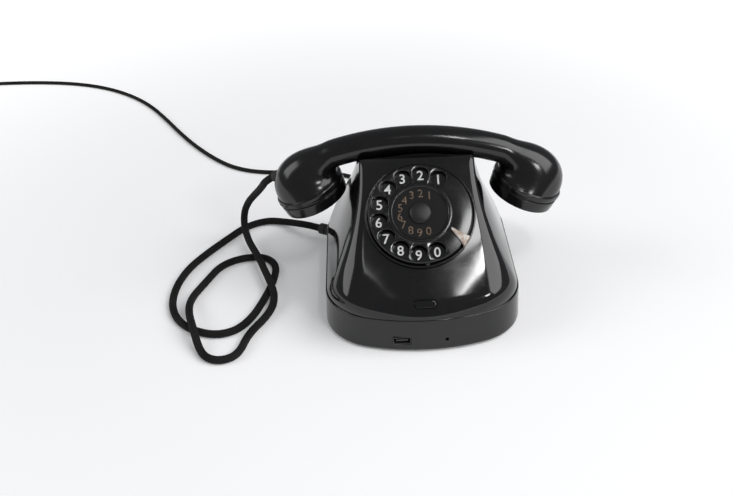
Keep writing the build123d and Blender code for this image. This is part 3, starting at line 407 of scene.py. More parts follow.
def textile(name, tone, second):
    # braid on the cord's own UV: two crossing sets of diagonal yarns, over and under by turns
    def paint(wire, where):
        uv = wire.node("ShaderNodeUVMap", {"uv_map": "UVMap"})
        u, v = (wire.node("ShaderNodeSeparateXYZ", {}, {0: uv}, axis) * braid["strands"] for axis in (0, 1))
        left = ((u + v) * (2 * pi)).sine()
        right = ((u - v) * (2 * pi)).sine()
        over = (u * 2 * (2 * pi)).sine().between(-0.3, 0.3)
        yarn = over * left.size() + (1 - over) * right.size()
        fuzz = wire.noise(where, braid["fuzzScale"], 2)
        drift = wire.noise(where, braid["driftScale"], 3)
        # painted shade: the colour darkens into the hollows between the yarns by the yarn height, with random
        # fuzz mixed in
        gapShadeAndFuzz = yarn * 0.7 + fuzz * 0.3
        colour = gapShadeAndFuzz.between(0.2, 0.9).blendTones(tone, second)
        colour = drift.between(0.45, 0.75).blendTones(colour, tone)
        relief = wire.bump(0.7, braid["depth"], yarn + fuzz * 0.3)
        return {"Base Color": colour, "Roughness": braid["rough"] + fuzz * 0.15, "Normal": relief}
    return finishOf(name, paint, Specular_IOR_Level=braid["shine"])


housingBlack = mouldedBlack("housing black", 0.07)
handsetBlack = mouldedBlack("handset black", 0.17)
dialBlack = mouldedBlack("dial black", 0.1)
capBlack = plainFinish("cap black", (0.009, 0.009, 0.0095), (0.014, 0.0135, 0.013), 0.42, shine=0.4)
labelBlack = plainFinish("label black", (0.0035, 0.0035, 0.0038), (0.006, 0.0058, 0.0056), 0.55, shine=0.18)
whiteInk = printed("white figures", (0.86, 0.86, 0.84), (0.6, 0.6, 0.58), 0.66, 420)
tanInk = printed("faded figures", (0.16, 0.1, 0.06), (0.03, 0.026, 0.022), 0.47, 700)
nickel = wornNickel("worn nickel")
rubberBlack = plainFinish("black rubber", (0.012, 0.012, 0.012), (0.022, 0.021, 0.02), 0.62)
cordTextile = textile("handset cord textile", (0.004, 0.0039, 0.0038), (0.017, 0.016, 0.0155))
lineTextile = textile("line cord textile", (0.0045, 0.0043, 0.0041), (0.019, 0.0175, 0.0165))
steel = plainFinish("sheet steel", (0.42, 0.42, 0.43), (0.33, 0.33, 0.34), 0.35, 1.0, 300)
brass = plainFinish("brass", (0.62, 0.45, 0.19), (0.5, 0.34, 0.14), 0.32, 1.0, 200)
copper = plainFinish("copper winding", (0.5, 0.24, 0.12), (0.38, 0.17, 0.08), 0.4, 0.8, 600)
brownResin = plainFinish("brown resin", (0.055, 0.03, 0.018), (0.035, 0.02, 0.013), 0.4)
boardGreen = plainFinish("board green", (0.02, 0.1, 0.04), (0.015, 0.075, 0.03), 0.45)
socketMetal = plainFinish("socket shell", (0.09, 0.09, 0.09), (0.05, 0.05, 0.05), 0.4, 0.7, 300)
lampDark = plainFinish("lamp window", (0.004, 0.004, 0.004), (0.008, 0.007, 0.007), 0.2)
print("finishes ready")


# cords: a NURBS line through the route, then a tube along the points read from it
def routeLine(name, points):
    curve = bpy.data.curves.new(name, "CURVE")
    curve.dimensions, curve.resolution_u = "3D", 12
    spline = curve.splines.new("NURBS")
    spline.points.add(len(points) - 1)
    spline.points.foreach_set("co", np.c_[np.array(points, float) * mm, np.ones(len(points))].ravel())
    spline.order_u, spline.use_endpoint_u = 3, True
    guide = addObject(name, curve)
    line = evaluatedMesh(guide)
    path = meshPoints(line) / mm
    bpy.data.objects.remove(guide)
    bpy.data.curves.remove(curve)
    bpy.data.meshes.remove(line)
    return path


def runAlong(path):
    # distance travelled at each point
    return np.concatenate([[0], np.cumsum(np.linalg.norm(np.diff(path, axis=0), axis=1))])


def evenly(path, gap):
    # points spaced by about the gap along the line
    run = runAlong(path)
    where = np.linspace(0, run[-1], int(run[-1] / gap) + 1)
    return np.stack([np.interp(where, run, path[:, axis]) for axis in range(3)], 1)


def tubeAlong(name, path, radius, sides):
    # circle carried along the path: frames start from the upright and lose their twist by a running sum
    nearlyUp = (0.02, 0.01, 1.0)
    tangent = unit(np.gradient(path, axis=0))
    side = unit(np.cross(tangent, nearlyUp))
    up = np.cross(side, tangent)
    axis = np.cross(tangent[:-1], tangent[1:])
    dot = (tangent[:-1] * tangent[1:]).sum(1)[:, None]
    kept = axis * (axis * side[:-1]).sum(1)[:, None] / (1 + dot)
    carried = side[:-1] * dot + np.cross(axis, side[:-1]) + kept
    twist = np.arctan2((carried * up[1:]).sum(1), (carried * side[1:]).sum(1))
    turn = np.concatenate([[0], np.cumsum(twist)])[:, None]
    around = shares(sides + 1)[None]
    angle = 2 * pi * around + turn
    ring = radius * (np.cos(angle)[..., None] * side[:, None] + np.sin(angle)[..., None] * up[:, None])
    run = runAlong(path)
    uv = np.stack(np.broadcast_arrays(around, run[:, None] / (2 * pi * radius)), -1)
    mesh = gridMesh(name, path[:, None] + ring, wrapCols=False, uv=uv)
    mesh.shade_smooth()
    return mesh, float(run[-1])


handsetCord = {
    "thick": 6.2, "step": 1.2, "sides": 20,
    "route": [
        (-82.765, 77, 10.5), (-93.504, 83.2, 10.5), (-104, 91, 8), (-116, 101, 4.2), (-133, 107, 3.1),
        (-152, 98, 3.1), (-166, 79, 3.1), (-182, 57, 3.1), (-197, 32, 3.1), (-204, 2, 3.1),
        (-202, -26, 3.1), (-190, -48, 3.1), (-168, -61, 3.1), (-149, -59, 3.1), (-136, -43, 3.1),
        (-127, -16, 3.1), (-121, 10, 3.1), (-120, 32, 3.1), (-131, 46, 3.1), (-151, 46, 3.1),
        (-169, 35, 3.1), (-178, 13, 3.1), (-188, -11, 3.5), (-186, -38, 10.0), (-179, -61, 10.0),
        (-173, -79, 4.1), (-166, -89.5, 3.1), (-154, -93, 3.1), (-142, -86, 3.1), (-137, -62, 3.1),
        (-123, -39, 3.1), (-118, -22, 5.1), (-121, -8, 10.0), (-127, 10, 10.0), (-134, 32, 10.0),
        (-143, 54, 10.0), (-147.5, 68, 9.5), (-151, 79.5, 14.5), (-150, 84.5, 27), (-144.5, 80, 39.5),
        (-138, 71, 50.5), (-131.5, 60.5, 61.5), (-126.5, 49.5, 72), (-122.5, 38.6, 82),
        (-115.38, 35.08, 87.97),
    ],
}


def makeHandsetCord():
    c = handsetCord
    path = evenly(routeLine("handset cord line", c["route"]), c["step"])
    mesh, length = tubeAlong("handsetCord", path, c["thick"] / 2, c["sides"])
    piece = addObject("handsetCord", mesh)
    mesh.materials.append(cordTextile)
    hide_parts("handset_cord")
    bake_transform(piece)
    print("handset cord", round(length), "mm")


lineCord = {
    "thick": 4.1, "step": 1.0, "sides": 16, "rest": 2.1,
    "route": [
        (-20, 104, 10.5), (-20, 116.3, 10.5), (-21, 132, 6), (-27, 152, 2.1), (-40, 173, 2.1),
        (-62, 190, 2.1), (-92, 198, 2.1), (-124, 200, 2.1), (-152, 204, 2.1), (-176, 216, 2.1),
        (-198, 238, 2.1), (-221, 268, 2.1), (-243, 303, 2.1), (-264, 340, 2.1), (-287, 377, 2.1),
        (-316, 410, 2.1), (-352, 437, 2.1), (-394, 455, 2.1), (-440, 464, 2.1), (-486, 467, 2.1),
        (-530, 466.5, 2.1),
    ],
    "coilAt": (-572.0, 497.0), "coilOuter": 30.5, "coilPitch": 5.6, "coilTurns": 3, "coilLayer": 5.8,
    "perTurn": 16, "plugHeight": 7.3, "plugAside": 7.0, "plugTail": 4.1,
}


def coilPoints():
    # spiral in on the table, climb over half a turn, spiral out on top and leave for the plug
    c = lineCord
    steps, turns, outer, pitch = c["perTurn"], c["coilTurns"], c["coilOuter"], c["coilPitch"]
    inward = np.arange(turns * steps + 1) / steps
    climb = np.arange(1, steps // 2) / steps
    outward = np.arange((turns - 0.5) * steps + 1) / steps
    turn = np.concatenate([inward, turns + climb, turns + 0.5 + outward])
    middle = outer - pitch * turns
    radius = np.concatenate([outer - pitch * inward, middle + 0 * climb, middle + pitch * outward])
    rise = np.concatenate([0 * inward, 2 * climb, 1 + 0 * outward])
    angle = -pi / 2 - 2 * pi * turn
    last = shares(steps // 2 + 1)[1:]
    lastRadius = radius[-1] + (outer + c["plugAside"] - radius[-1]) * last
    angle, radius = np.concatenate([angle, angle[-1] - pi * last]), np.concatenate([radius, lastRadius])
    high = c["rest"] + c["coilLayer"]
    z = np.concatenate([c["rest"] + c["coilLayer"] * rise, high + (c["plugHeight"] - high) * last])
    x, y = c["coilAt"]
    return np.stack([x + radius * np.cos(angle), y + radius * np.sin(angle), z], 1)


def makeLineCord():
    c = lineCord
    coil = coilPoints()
    tail = coil[-1:] + np.array([c["plugTail"], 0, 0])
    path = evenly(routeLine("line cord line", np.concatenate([c["route"], coil, tail])), c["step"])
    mesh, length = tubeAlong("lineCord", path, c["thick"] / 2, c["sides"])
    piece = place("lineCord", mesh, lineTextile, "base", "line_cord", "line_coil")
    print("line cord", round(length), "mm")


makeHandsetCord()
makeLineCord()


# housing: rings of its plan stacked from inside the rim, round the rim and up to the ridge
housing = {
    "halfWidth": 76.0, "halfDepth": 90.0, "draft": 0.8, "rim": 2.0, "rimRound": 1.0, "shoulder": 29.0,
    "ledge": 0.8, "lip": 0.8, "ridge": 114.0, "ridgeHalfWidth": 45.0, "ridgeRear": 46.0, "ridgeCorner": 5.0,
    "ridgeRound": 3.0, "frontBow": 21.0, "rearBow": 10.0, "flatBow": 0.4, "sideBow": 5.5, "frontCorner": 44.0,
    "rearCorner": 40.0, "flareStart": 1.25, "flareEnd": 1.5, "frontFade": 6, "rearFade": 4, "cornerFade": 3.2,
    "chin": 25.0, "lean": 50.3, "dialAt": (0, -30.1, 84.3), "skin": 0.4, "wall": 3.5, "cavityTop": 100.0,
    "wellDepth": 26.3, "wellRadius": 36.3, "dialRadius": 42.3, "dialClear": 6,
}
dialLean = radians(housing["lean"])
dialPlane = Plane(housing["dialAt"], (0, -cos(dialLean), sin(dialLean)), (1, 0, 0))


def planRing(halfWidth, front, rear, bowFront, bowRear, cornerFront, cornerRear):
    # outline of the plan, one row for each height: bowed front and rear, straight sides, round corners
    arc, corner, side = shares(26), shares(22)[1:], shares(26)[1:-1]
    sizes = (halfWidth, front, rear, bowFront, bowRear, cornerFront, cornerRear)
    halfWidth, front, rear, bowFront, bowRear, cornerFront, cornerRear = (
        np.asarray(size, float)[:, None] for size in sizes)

    def end(bow, radius):
        # circle of the bow and of the corner that touches it and the side: centres below or above the outline
        bend = (halfWidth**2 + bow**2) / (2 * bow)
        inner = halfWidth - radius
        drop = np.sqrt((bend - radius) ** 2 - inner**2)
        spread = np.arcsin(inner / (bend - radius))
        sweep, turn = spread * arc, spread + (pi / 2 - spread) * corner
        x = np.concatenate([bend * np.sin(sweep), inner + radius * np.sin(turn)], 1)
        y = np.concatenate([bend - bend * np.cos(sweep), bend - drop - radius * np.cos(turn)], 1)
        return x, y

    frontX, frontY = end(bowFront, cornerFront)
    rearX, rearY = end(bowRear, cornerRear)
    frontY, rearY = front + frontY, rear - rearY
    sideY = frontY[:, -1:] + (rearY[:, -1:] - frontY[:, -1:]) * side
    x = np.concatenate([frontX, halfWidth + 0 * sideY, rearX[:, ::-1]], 1)
    y = np.concatenate([frontY, sideY, rearY[:, ::-1]], 1)
    return np.concatenate([x, -x[:, -2:0:-1]], 1), np.concatenate([y, y[:, -2:0:-1]], 1)


def plinthRing(z, inset):
    # plan of the plinth, drawn in by the inset of each height
    h, ones = housing, np.ones_like(z)
    bows = h["frontBow"] * ones, h["rearBow"] * ones
    corners = h["frontCorner"] - inset, h["rearCorner"] - inset
    return planRing(h["halfWidth"] - inset, inset - h["halfDepth"], h["halfDepth"] - inset, *bows, *corners)


def chinCircle():
    # middle of the chin's circle, which touches the dial face and meets the shoulder, and where it touches
    h = housing
    normal, along = np.array([-cos(dialLean), sin(dialLean)]), np.array([sin(dialLean), cos(dialLean)])
    face = np.array(h["dialAt"][1:])
    shoulder = np.array([h["draft"] + h["ledge"] - h["halfDepth"], h["shoulder"]])
    depth = (face - shoulder) @ normal
    reach = sqrt(h["chin"] ** 2 - (h["chin"] - depth) ** 2)
    top = face + along * ((shoulder - face) @ along + reach)
    return top - normal * h["chin"], top[1]


chinMiddle, chinTop = chinCircle()


def frontLine(z):
    # the dial face runs straight down, then round the chin to the shoulder
    face = housing["dialAt"][1] + (z - housing["dialAt"][2]) * tan(dialLean)
    chin = chinMiddle[0] - np.sqrt(np.maximum(housing["chin"] ** 2 - (z - chinMiddle[1]) ** 2, 0))
    return np.where(z > chinTop, face, chin)


def bodyRing(z, inset):
    # plan at a height: width, depth, bows and corners fall by powers from the shoulder's to the ridge's
    h = housing
    share = (z - h["shoulder"]) / (h["ridge"] - h["shoulder"])
    flare = (1 - share ** h["flareStart"]) ** h["flareEnd"]
    edge, corner, flat = h["draft"] + h["ledge"], h["ridgeCorner"], h["flatBow"]
    width = h["ridgeHalfWidth"] + (h["halfWidth"] - edge - h["ridgeHalfWidth"]) * flare - inset
    rear = h["ridgeRear"] + (h["halfDepth"] - edge - h["ridgeRear"]) * flare - inset
    front = frontLine(z) - h["skin"] + inset / np.where(z > h["ridge"] - h["ridgeRound"], 1, cos(dialLean))
    frontBow = flat + (h["frontBow"] - flat) * (1 - share) ** h["frontFade"]
    rearBow = flat + (h["rearBow"] - flat) * (1 - share) ** h["rearFade"]
    soft = (1 - share) ** h["cornerFade"]
    corners = [np.maximum(corner + (h[name] - corner) * soft - inset, corner / 2)
               for name in ("frontCorner", "rearCorner")]
    x, y = planRing(width, front, rear, frontBow, rearBow, *corners)
    # the sides swell by a parabola between front and rear
    near, far = y.min(1)[:, None], y.max(1)[:, None]
    swell = h["sideBow"] * 4 * share * (1 - share) / width
    return x * (1 - swell[:, None] * ((2 * y - near - far) / (far - near)) ** 2), y


def ringRows(ring, z, inset):
    # points of a ring function's rows
    x, y = ring(z, inset)
    return np.stack([x, y, z[:, None] + 0 * x], -1)


button = {
    "lean": 40.0, "width": 16.6, "height": 6.2, "round": 1.1, "sunk": 0.5, "dome": 0.12, "stem": 8.3,
    "flange": 1.4, "flangeThick": 1.6, "springPad": 10.6, "margin": 0.9, "recess": 1.6, "recessTop": 4,
    "fit": 0.15, "bore": 12, "boreTop": 1,
}
socket = {
    "x": -18.3, "z": 10.8, "width": 13.2, "height": 6.0, "gap": 0.3, "blunt": 0.12, "lampX": 15.6,
    "lamp": 1.45, "outside": -96, "through": 13,
}
cradle = {
    "y": 25.0, "handleZ": 120.85, "arch": 218.8, "half": 10.9, "gap": 1.2, "trough": 20.0, "troughLean": 19.0,
    "plungerX": 30.0, "plunger": 4.05, "holeLow": 96, "holeHigh": 116,
}
buttonLean = radians(button["lean"])
buttonNormal = np.array([0, -cos(buttonLean), sin(buttonLean)])
buttonMiddle = np.array([0, *chinMiddle]) + buttonNormal * (housing["chin"] + housing["skin"])
buttonPlane = Plane(buttonMiddle, buttonNormal, (1, 0, 0))
glandPlane = Plane((-36, 50, 10.5), (-cos(pi / 6), sin(pi / 6), 0), (0, 0, 1))
lineGlandPlane = Plane((-20, 90, 10.5), (0, 1, 0), (1, 0, 0))
cordHoles = {"handset": (4.95, 22, 44), "line": (4.25, -11, 4)}  # radius, low and high on the plane's normal


def ovalWall(margin, low, high):
    # two rows of the button's stadium outline, widened by the margin
    x, y = ovalRing(button["width"] + 2 * margin, button["height"] + 2 * margin, [0, 0])
    return buttonPlane.at(x, y, np.array([[low], [high]]) + 0 * x)


def ovalCutter(margin, low, high):
    # closed prism with a margin all round the button
    return closedEnds(ovalWall(margin, low, high))


def slotCutter():
    # rounded window of the charging socket, a superellipse outline run through the wall
    s = socket
    t = fullTurn(64)
    x = s["x"] + (s["width"] / 2 + s["gap"]) * blunted(np.cos(t), s["blunt"])
    z = s["z"] + (s["height"] / 2 + s["gap"]) * blunted(np.sin(t), s["blunt"])
    y = s["outside"] + np.array([[0], [s["through"]]])
    return closedEnds(np.stack(np.broadcast_arrays(x, y, z), -1))


def troughCutter():
    # round trough, arched about the same centre as the handle
    c = cradle
    centre = c["handleZ"] - c["arch"]
    radial = c["handleZ"] - c["half"] - c["gap"] + c["trough"] - centre
    lean = np.radians(np.linspace(-c["troughLean"], c["troughLean"], 61))[1:-1, None]
    angle = fullTurn(96)
    out = radial + c["trough"] * np.sin(angle)
    y = c["y"] + c["trough"] * np.cos(angle) + 0 * lean
    return closedEnds(np.stack([out * np.sin(lean), y, centre + out * np.cos(lean)], -1))


def housingCutters():
    h, b, s, c = housing, button, socket, cradle
    well = np.array([(0, -h["wellDepth"]), (h["wellRadius"], -h["wellDepth"]), (h["wellRadius"], 0),
                     (h["dialRadius"], 0), (h["dialRadius"], h["dialClear"]), (0, h["dialClear"])], float)
    lampHole = Plane((s["lampX"], s["outside"], s["z"]), (0, 1, 0), (1, 0, 0))
    posts = [Plane((x, c["y"], 0), (0, 0, 1), (1, 0, 0)) for x in (-c["plungerX"], c["plungerX"])]
    return [
        troughCutter(), lathe(dialPlane, well, 160),
        ovalCutter(b["margin"], -b["recess"], b["recessTop"]), ovalCutter(b["fit"], -b["bore"], b["boreTop"]),
        slotCutter(), drum(lampHole, s["lamp"], 0, s["through"], 24),
        drum(glandPlane, *cordHoles["handset"], 40), drum(lineGlandPlane, *cordHoles["line"], 40),
        *(drum(post, c["plunger"], c["holeLow"], c["holeHigh"], 32) for post in posts),
    ]


def makeHousing():
    # cavity, skirt and rounded rim inside, then plinth, lip, body and rounded ridge outside
    h = housing
    r, edge, crown, inside = h["rimRound"], h["lip"], h["ridgeRound"], h["wall"] + h["draft"]
    inTop, outTop = h["cavityTop"], h["ridge"] - crown
    bandLow, bandTop = h["rim"] + r, h["shoulder"] - edge
    bend, turn = np.linspace(0, pi / 2, 6), np.linspace(0, pi / 2, 10)[1:]
    band, down, up = shares(14)[1:], shares(40), shares(80)
    grid = np.concatenate([
        ringRows(bodyRing, inTop + (h["shoulder"] - inTop) * down, h["wall"]),
        ringRows(plinthRing, np.linspace(h["shoulder"], bandLow, 6), np.full(6, inside)),
        ringRows(plinthRing, bandLow - r * np.sin(bend), inside - r * (1 - np.cos(bend))),
        ringRows(plinthRing, bandLow - r * np.sin(bend[::-1]), r * (1 - np.cos(bend[::-1]))),
        ringRows(plinthRing, bandLow + (bandTop - bandLow) * band, h["draft"] * band),
        ringRows(plinthRing, bandTop + edge * np.sin(bend), h["draft"] + edge * (1 - np.cos(bend))),
        ringRows(bodyRing, h["shoulder"] + (outTop - h["shoulder"]) * up, 0 * up),
        ringRows(bodyRing, outTop + crown * np.sin(turn) * 0.999999, crown * (1 - np.cos(turn))),
    ])
    mesh = cleaned(gridMesh("housingShell", closedEnds(grid)))
    mesh = cleaned(carve(mesh, housingCutters()), 30, False)
    piece = place("housingShell", mesh, housingBlack, "base", "housing")
    print("housing", len(mesh.polygons), "faces")


makeHousing()


# handset: an arched handle that swells into a bell at each end, with a screw cap on each bell
handset = {
    "yaw": -2.56, "shift": 1.8, "halfWidth": 12.0, "handleEnd": 17.5, "throat": 5.4, "bellGap": 2.9,
    "bell": 27.0, "tilt": 22.1, "bellRise": 2.12, "bellFill": 4, "bellSpread": 2.2, "bead": 1.6,
    "beadHeight": 5.5, "groove": 1.7, "capHeight": 16.0, "capEnd": 26.9, "capWall": 4.0, "capSeat": 0.05,
    "dish": 1.2, "face": 3.0, "hole": 1.6, "holeCircle": 9.0,
}
yaw = radians(handset["yaw"])
handsetX, handsetY = np.array([cos(yaw), sin(yaw), 0]), np.array([-sin(yaw), cos(yaw), 0])
upright = np.array([0, 0, 1])
handsetOrigin = np.array([handset["shift"], cradle["y"], 0])


def bellShape(share):
    # half sizes, reach from the swell's centre and lean of a bell section, from the handle (0) to the rim (1)
    s, half = handset, cradle["half"]
    high = half + (s["bell"] - half) * (1 - (1 - share) ** s["bellRise"]) ** s["bellFill"]
    wide = s["halfWidth"] + (s["bell"] - s["halfWidth"]) * share ** s["bellSpread"]
    reach = s["throat"] + (s["bellGap"] - s["throat"]) * share**2 + high
    lean = s["handleEnd"] + (90 + s["tilt"] - s["handleEnd"]) * share
    return wide, high, reach, np.radians(lean)


def spineRows():
    # centre x, centre z, lean and half sizes of the sections of the right half
    s, c = handset, cradle
    centre = c["handleZ"] - c["arch"]
    lean = np.radians(np.linspace(0, s["handleEnd"], 24))
    handle = [c["arch"] * np.sin(lean), centre + c["arch"] * np.cos(lean), lean,
              0 * lean + s["halfWidth"], 0 * lean + c["half"]]
    wide, high, reach, tip = bellShape(shares(48)[1:])
    swell = c["arch"] - c["half"] - s["throat"]
    end = radians(s["handleEnd"])
    bell = [swell * sin(end) + reach * np.sin(tip), centre + swell * cos(end) + reach * np.cos(tip), tip,
            wide, high]
    return [np.concatenate(pair) for pair in zip(handle, bell)]


def rimPlane(side):
    # plane of a bell's rim, its normal out of that end
    x, z, lean = (row[-1] for row in spineRows()[:3])
    origin = handsetOrigin + side * x * handsetX + z * upright
    return Plane(origin, side * cos(lean) * handsetX - sin(lean) * upright, handsetY)


def makeHandset():
    # ellipses carried along the spine, the left half mirrored from the right
    x, z, lean, wide, high = spineRows()
    x, lean = (np.concatenate([-row[:0:-1], row])[:, None] for row in (x, lean))
    z, wide, high = (np.concatenate([row[:0:-1], row])[:, None] for row in (z, wide, high))
    angle = fullTurn(96)
    out = high * np.sin(angle)
    body = Plane(handsetOrigin, upright, handsetX)
    grid = body.at(x + out * np.sin(lean), wide * np.cos(angle), z + out * np.cos(lean))
    mesh = cleaned(gridMesh("handsetBody", closedEnds(grid)), 40)
    piece = place("handsetBody", mesh, handsetBlack, "handset", "handset_body")


def makeCap(name, side, node, holes):
    # turned cap: bead under the bell, groove, tapering skirt, slightly hollow face with sound holes
    s = handset
    inner, top, seat, bead = s["bell"] - s["capWall"], s["bell"] + s["bead"], s["capSeat"], s["beadHeight"]
    end, bottom = s["capEnd"], s["capHeight"]
    hollow, ceiling = bottom - s["dish"], bottom - s["face"] - 1
    corners = [
        (inner, seat), (top - 0.9, seat), (top, 1.1), (top, bead - 1.4), (top - s["groove"], bead - 0.5),
        (top - s["groove"], bead + 0.5), (top - 0.6, bead + 1.2), (end, bottom - 0.4), (end - 1.2, bottom),
        (end - 5, bottom), (end - 9, hollow), (0, hollow),
    ]
    outer = rounded(corners, [0.3, 1.0, 1.0, 0.3, 0.3, 0.6, 1.6, 1.2, 1.5, 2.5], 7)
    inside = np.array([(0, ceiling), (inner, ceiling), (inner, seat)])
    plane = rimPlane(side)
    mesh = cleaned(gridMesh(name, lathe(plane, np.concatenate([outer, inside]))))
    ring = 2 * pi * np.arange(holes) / holes
    spots = [(0.0, 0.0)] + [(s["holeCircle"] * cos(a), s["holeCircle"] * sin(a)) for a in ring]
    drills = [drum(Plane(plane.at(x, y, 0.0), plane.z, plane.x), s["hole"], ceiling - 2, bottom + 3, 20)
              for x, y in spots]
    mesh = cleaned(carve(mesh, drills), 35, False)
    piece = place(name, mesh, handsetBlack, "handset", node)


makeHandset()
makeCap("earCap", 1, "ear_cap", 6)
makeCap("mouthCap", -1, "mouth_cap", 9)
print("handset made")


# dial: radii and heights are on its own axis
dial = {
    "collar": 42.0, "collarWidth": 1.4, "collarHeight": 3.0, "plate": 1.2, "bore": 3.05, "shaft": 3.0,
    "wheel": 39.5, "wheelLow": 3.6, "wheelHigh": 6.0, "hub": 6.0, "hubLow": 1.5, "hole": 6.25,
    "holeCircle": 31.5, "pitch": 25.5, "first": 61.0, "label": 21.5, "labelLow": 5.2, "labelThick": 0.7,
    "labelGap": 0.05, "ring": 24.5, "ringLap": 0.7, "ringHeight": 1.0, "ringEdge": 0.35, "ringBevel": 0.7,
    "cap": 8.5, "capEdge": 0.5, "capRise": 3.2, "figure": 7.7, "figureCircle": 32.0, "figureBold": 0.008,
    "smallFigure": 6.2, "smallCircle": 15.6, "figureLift": 0.06, "holes": 10,
}


def turned(name, profile, finish, body, node):
    # closed profile turned about the dial's axis
    mesh = cleaned(gridMesh(name, lathe(dialPlane, np.array(profile, float), 160), wrapRows=True))
    piece = place(name, mesh, finish, body, node)


def makeDialBase():
    # flat number plate and the thin collar round it
    d = dial
    inside, high = d["collar"] - d["collarWidth"], d["collarHeight"]
    corners = [(d["bore"], 0), (d["collar"], 0), (d["collar"], high), (inside, high), (inside, d["plate"]),
               (d["bore"], d["plate"])]
    profile = rounded(corners, [0.1, 0.5, 0.5, 0.3])
    turned("numberRing", profile, dialBlack, "base", "number_ring")


def makeWheel():
    # disc with a rounded rim, a shallow seat for the label and ten finger holes with rolled lips
    d = dial
    low, high, seat, rim, hole = d["wheelLow"], d["wheelHigh"], d["labelLow"], d["wheel"], d["hole"]
    corners = [
        (d["shaft"], d["hubLow"]), (d["hub"], d["hubLow"]), (d["hub"], low), (rim - 0.4, low),
        (rim, low + 0.4), (rim, high - 0.8), (rim - 0.8, high), (d["label"], high), (d["label"], seat),
        (d["shaft"], seat),
    ]
    profile = rounded(corners, [0.1, 0.1, 0.3, 0.3, 0.6, 0.6, 0.1, 0.1])
    mesh = cleaned(gridMesh("fingerWheel", lathe(dialPlane, profile, 240), wrapRows=True))
    lip = np.array([
        (0, low - 1), (hole, low - 1), (hole, high - 0.7), (hole + 0.12, high - 0.35),
        (hole + 0.4, high - 0.08), (hole + 0.8, high + 0.02), (hole + 0.8, high + 1), (0, high + 1),
    ], float)
    drills = []
    for a in np.radians(d["first"] + d["pitch"] * np.arange(d["holes"])):
        spot = dialPlane.at(d["holeCircle"] * cos(a), d["holeCircle"] * sin(a), 0.0)
        drills.append(lathe(Plane(spot, dialPlane.z, dialPlane.x), lip, 64))
    mesh = cleaned(carve(mesh, drills), 40, False)
    piece = place("fingerWheel", mesh, dialBlack, "dial", "finger_wheel")


def makeDialMiddle():
    # label disc, the ring that holds it and the domed cap
    d = dial
    low, top, edge = d["labelLow"], d["labelLow"] + d["labelThick"], d["label"] - d["labelGap"]
    disc = [(0, low), (edge, low), (edge, top), (0, top)]
    turned("labelDisc", disc, labelBlack, "dial", "label_disc")
    inside, outside, foot, bevel = d["label"] - d["ringLap"], d["ring"], d["wheelHigh"], d["ringBevel"]
    brim, crest = foot + d["ringEdge"], foot + d["ringHeight"]
    corners = [(inside, foot), (outside, foot), (outside, brim), (outside - bevel, crest),
               (inside + bevel, crest), (inside, brim), (inside, foot)]
    ring = rounded(corners, [0.1, 0.3, 0.7, 0.7, 0.3])[:-1]
    turned("labelRing", ring, dialBlack, "dial", "label_ring")
    t = np.linspace(0, pi / 2, 14)
    rise = top + d["capEdge"] + (d["capRise"] - d["capEdge"]) * np.sin(t)
    dome = np.stack([d["cap"] * np.cos(t) ** 0.8, rise], 1)
    dome[-1, 0] = 0
    cap = np.concatenate([[(0, top), (d["cap"], top)], dome])
    turned("centreCap", cap, capBlack, "dial", "centre_cap")


def figure(text, height, x, y, z, bold):
    # one upright figure from the built-in font, made a flat mesh and set on the dial at its middle
    curve = bpy.data.curves.new("figure", "FONT")
    curve.body, curve.offset, curve.resolution_u = text, bold, 6
    holder = addObject("figure", curve)
    mesh = evaluatedMesh(holder)
    bpy.data.objects.remove(holder)
    bpy.data.curves.remove(curve)
    points = meshPoints(mesh)
    low, high = points.min(0), points.max(0)
    points = (points - (low + high) / 2) * (height / (high[1] - low[1]))
    mesh.vertices.foreach_set("co", (dialPlane.at(x + points[:, 0], y + points[:, 1], z) * mm).ravel())
    mesh.update()
    return mesh


def makeFigures(name, circle, height, under, finish, body, bold):
    # 1 to 9 and 0 round a circle, one at each finger hole's angle
    d = dial
    work = bmesh.new()
    for index in range(d["holes"]):
        a = radians(d["first"] + d["pitch"] * index)
        text = str((index + 1) % 10)
        part = figure(text, height, circle * cos(a), circle * sin(a), under + d["figureLift"], bold)
        work.from_mesh(part)
        bpy.data.meshes.remove(part)
    bmesh.ops.remove_doubles(work, verts=work.verts, dist=1e-7)
    mesh = bpy.data.meshes.new(name)
    work.to_mesh(mesh)
    work.free()
    piece = place(name, mesh, finish, body)


fingerStop = {
    "angle": -36.0, "root": 41.3, "width": 9.0, "tipAngle": -31.0, "tipRadius": 26.1, "tipWidth": 1.6,
    "taper": 0.85, "thick": 1.1, "low": 6.6, "foot": 3.0, "bend": 1.6,
}


def makeFingerStop():
    # blade carried along its path: up from the collar, over its edge and in to the tip, narrowing as it goes
    f = fingerStop
    rootA, tipA = radians(f["angle"]), radians(f["tipAngle"])
    root = f["root"] * np.array([cos(rootA), sin(rootA)])
    tip = f["tipRadius"] * np.array([cos(tipA), sin(tipA)])
    ahead, across, length = unit(tip - root), np.array([-sin(rootA), cos(rootA)]), np.linalg.norm(tip - root)
    middle = f["low"] + f["thick"] / 2
    inward = rounded([(0, f["foot"]), (0, middle), (length, middle)], [f["bend"]], 8)
    inward = np.concatenate([inward[:-1], np.linspace(inward[-2], inward[-1], 24)[1:]])
    run = inward[:, :1] / length
    halfWidth = (f["width"] + (f["tipWidth"] - f["width"]) * run ** f["taper"]) / 2
    slope = unit(np.gradient(inward, axis=0))
    t = fullTurn(40)
    # the section is a superellipse, flat above and below
    side, lift = halfWidth * blunted(np.cos(t), 0.35), f["thick"] / 2 * blunted(np.sin(t), 0.6)
    along, height = inward[:, :1] - slope[:, 1:] * lift, inward[:, 1:] + slope[:, :1] * lift
    x, y = root[:, None, None] + ahead[:, None, None] * along + across[:, None, None] * side
    mesh = cleaned(gridMesh("fingerStop", closedEnds(dialPlane.at(x, y, height))), 50)
    piece = place("fingerStop", mesh, nickel, "base", "finger_stop")


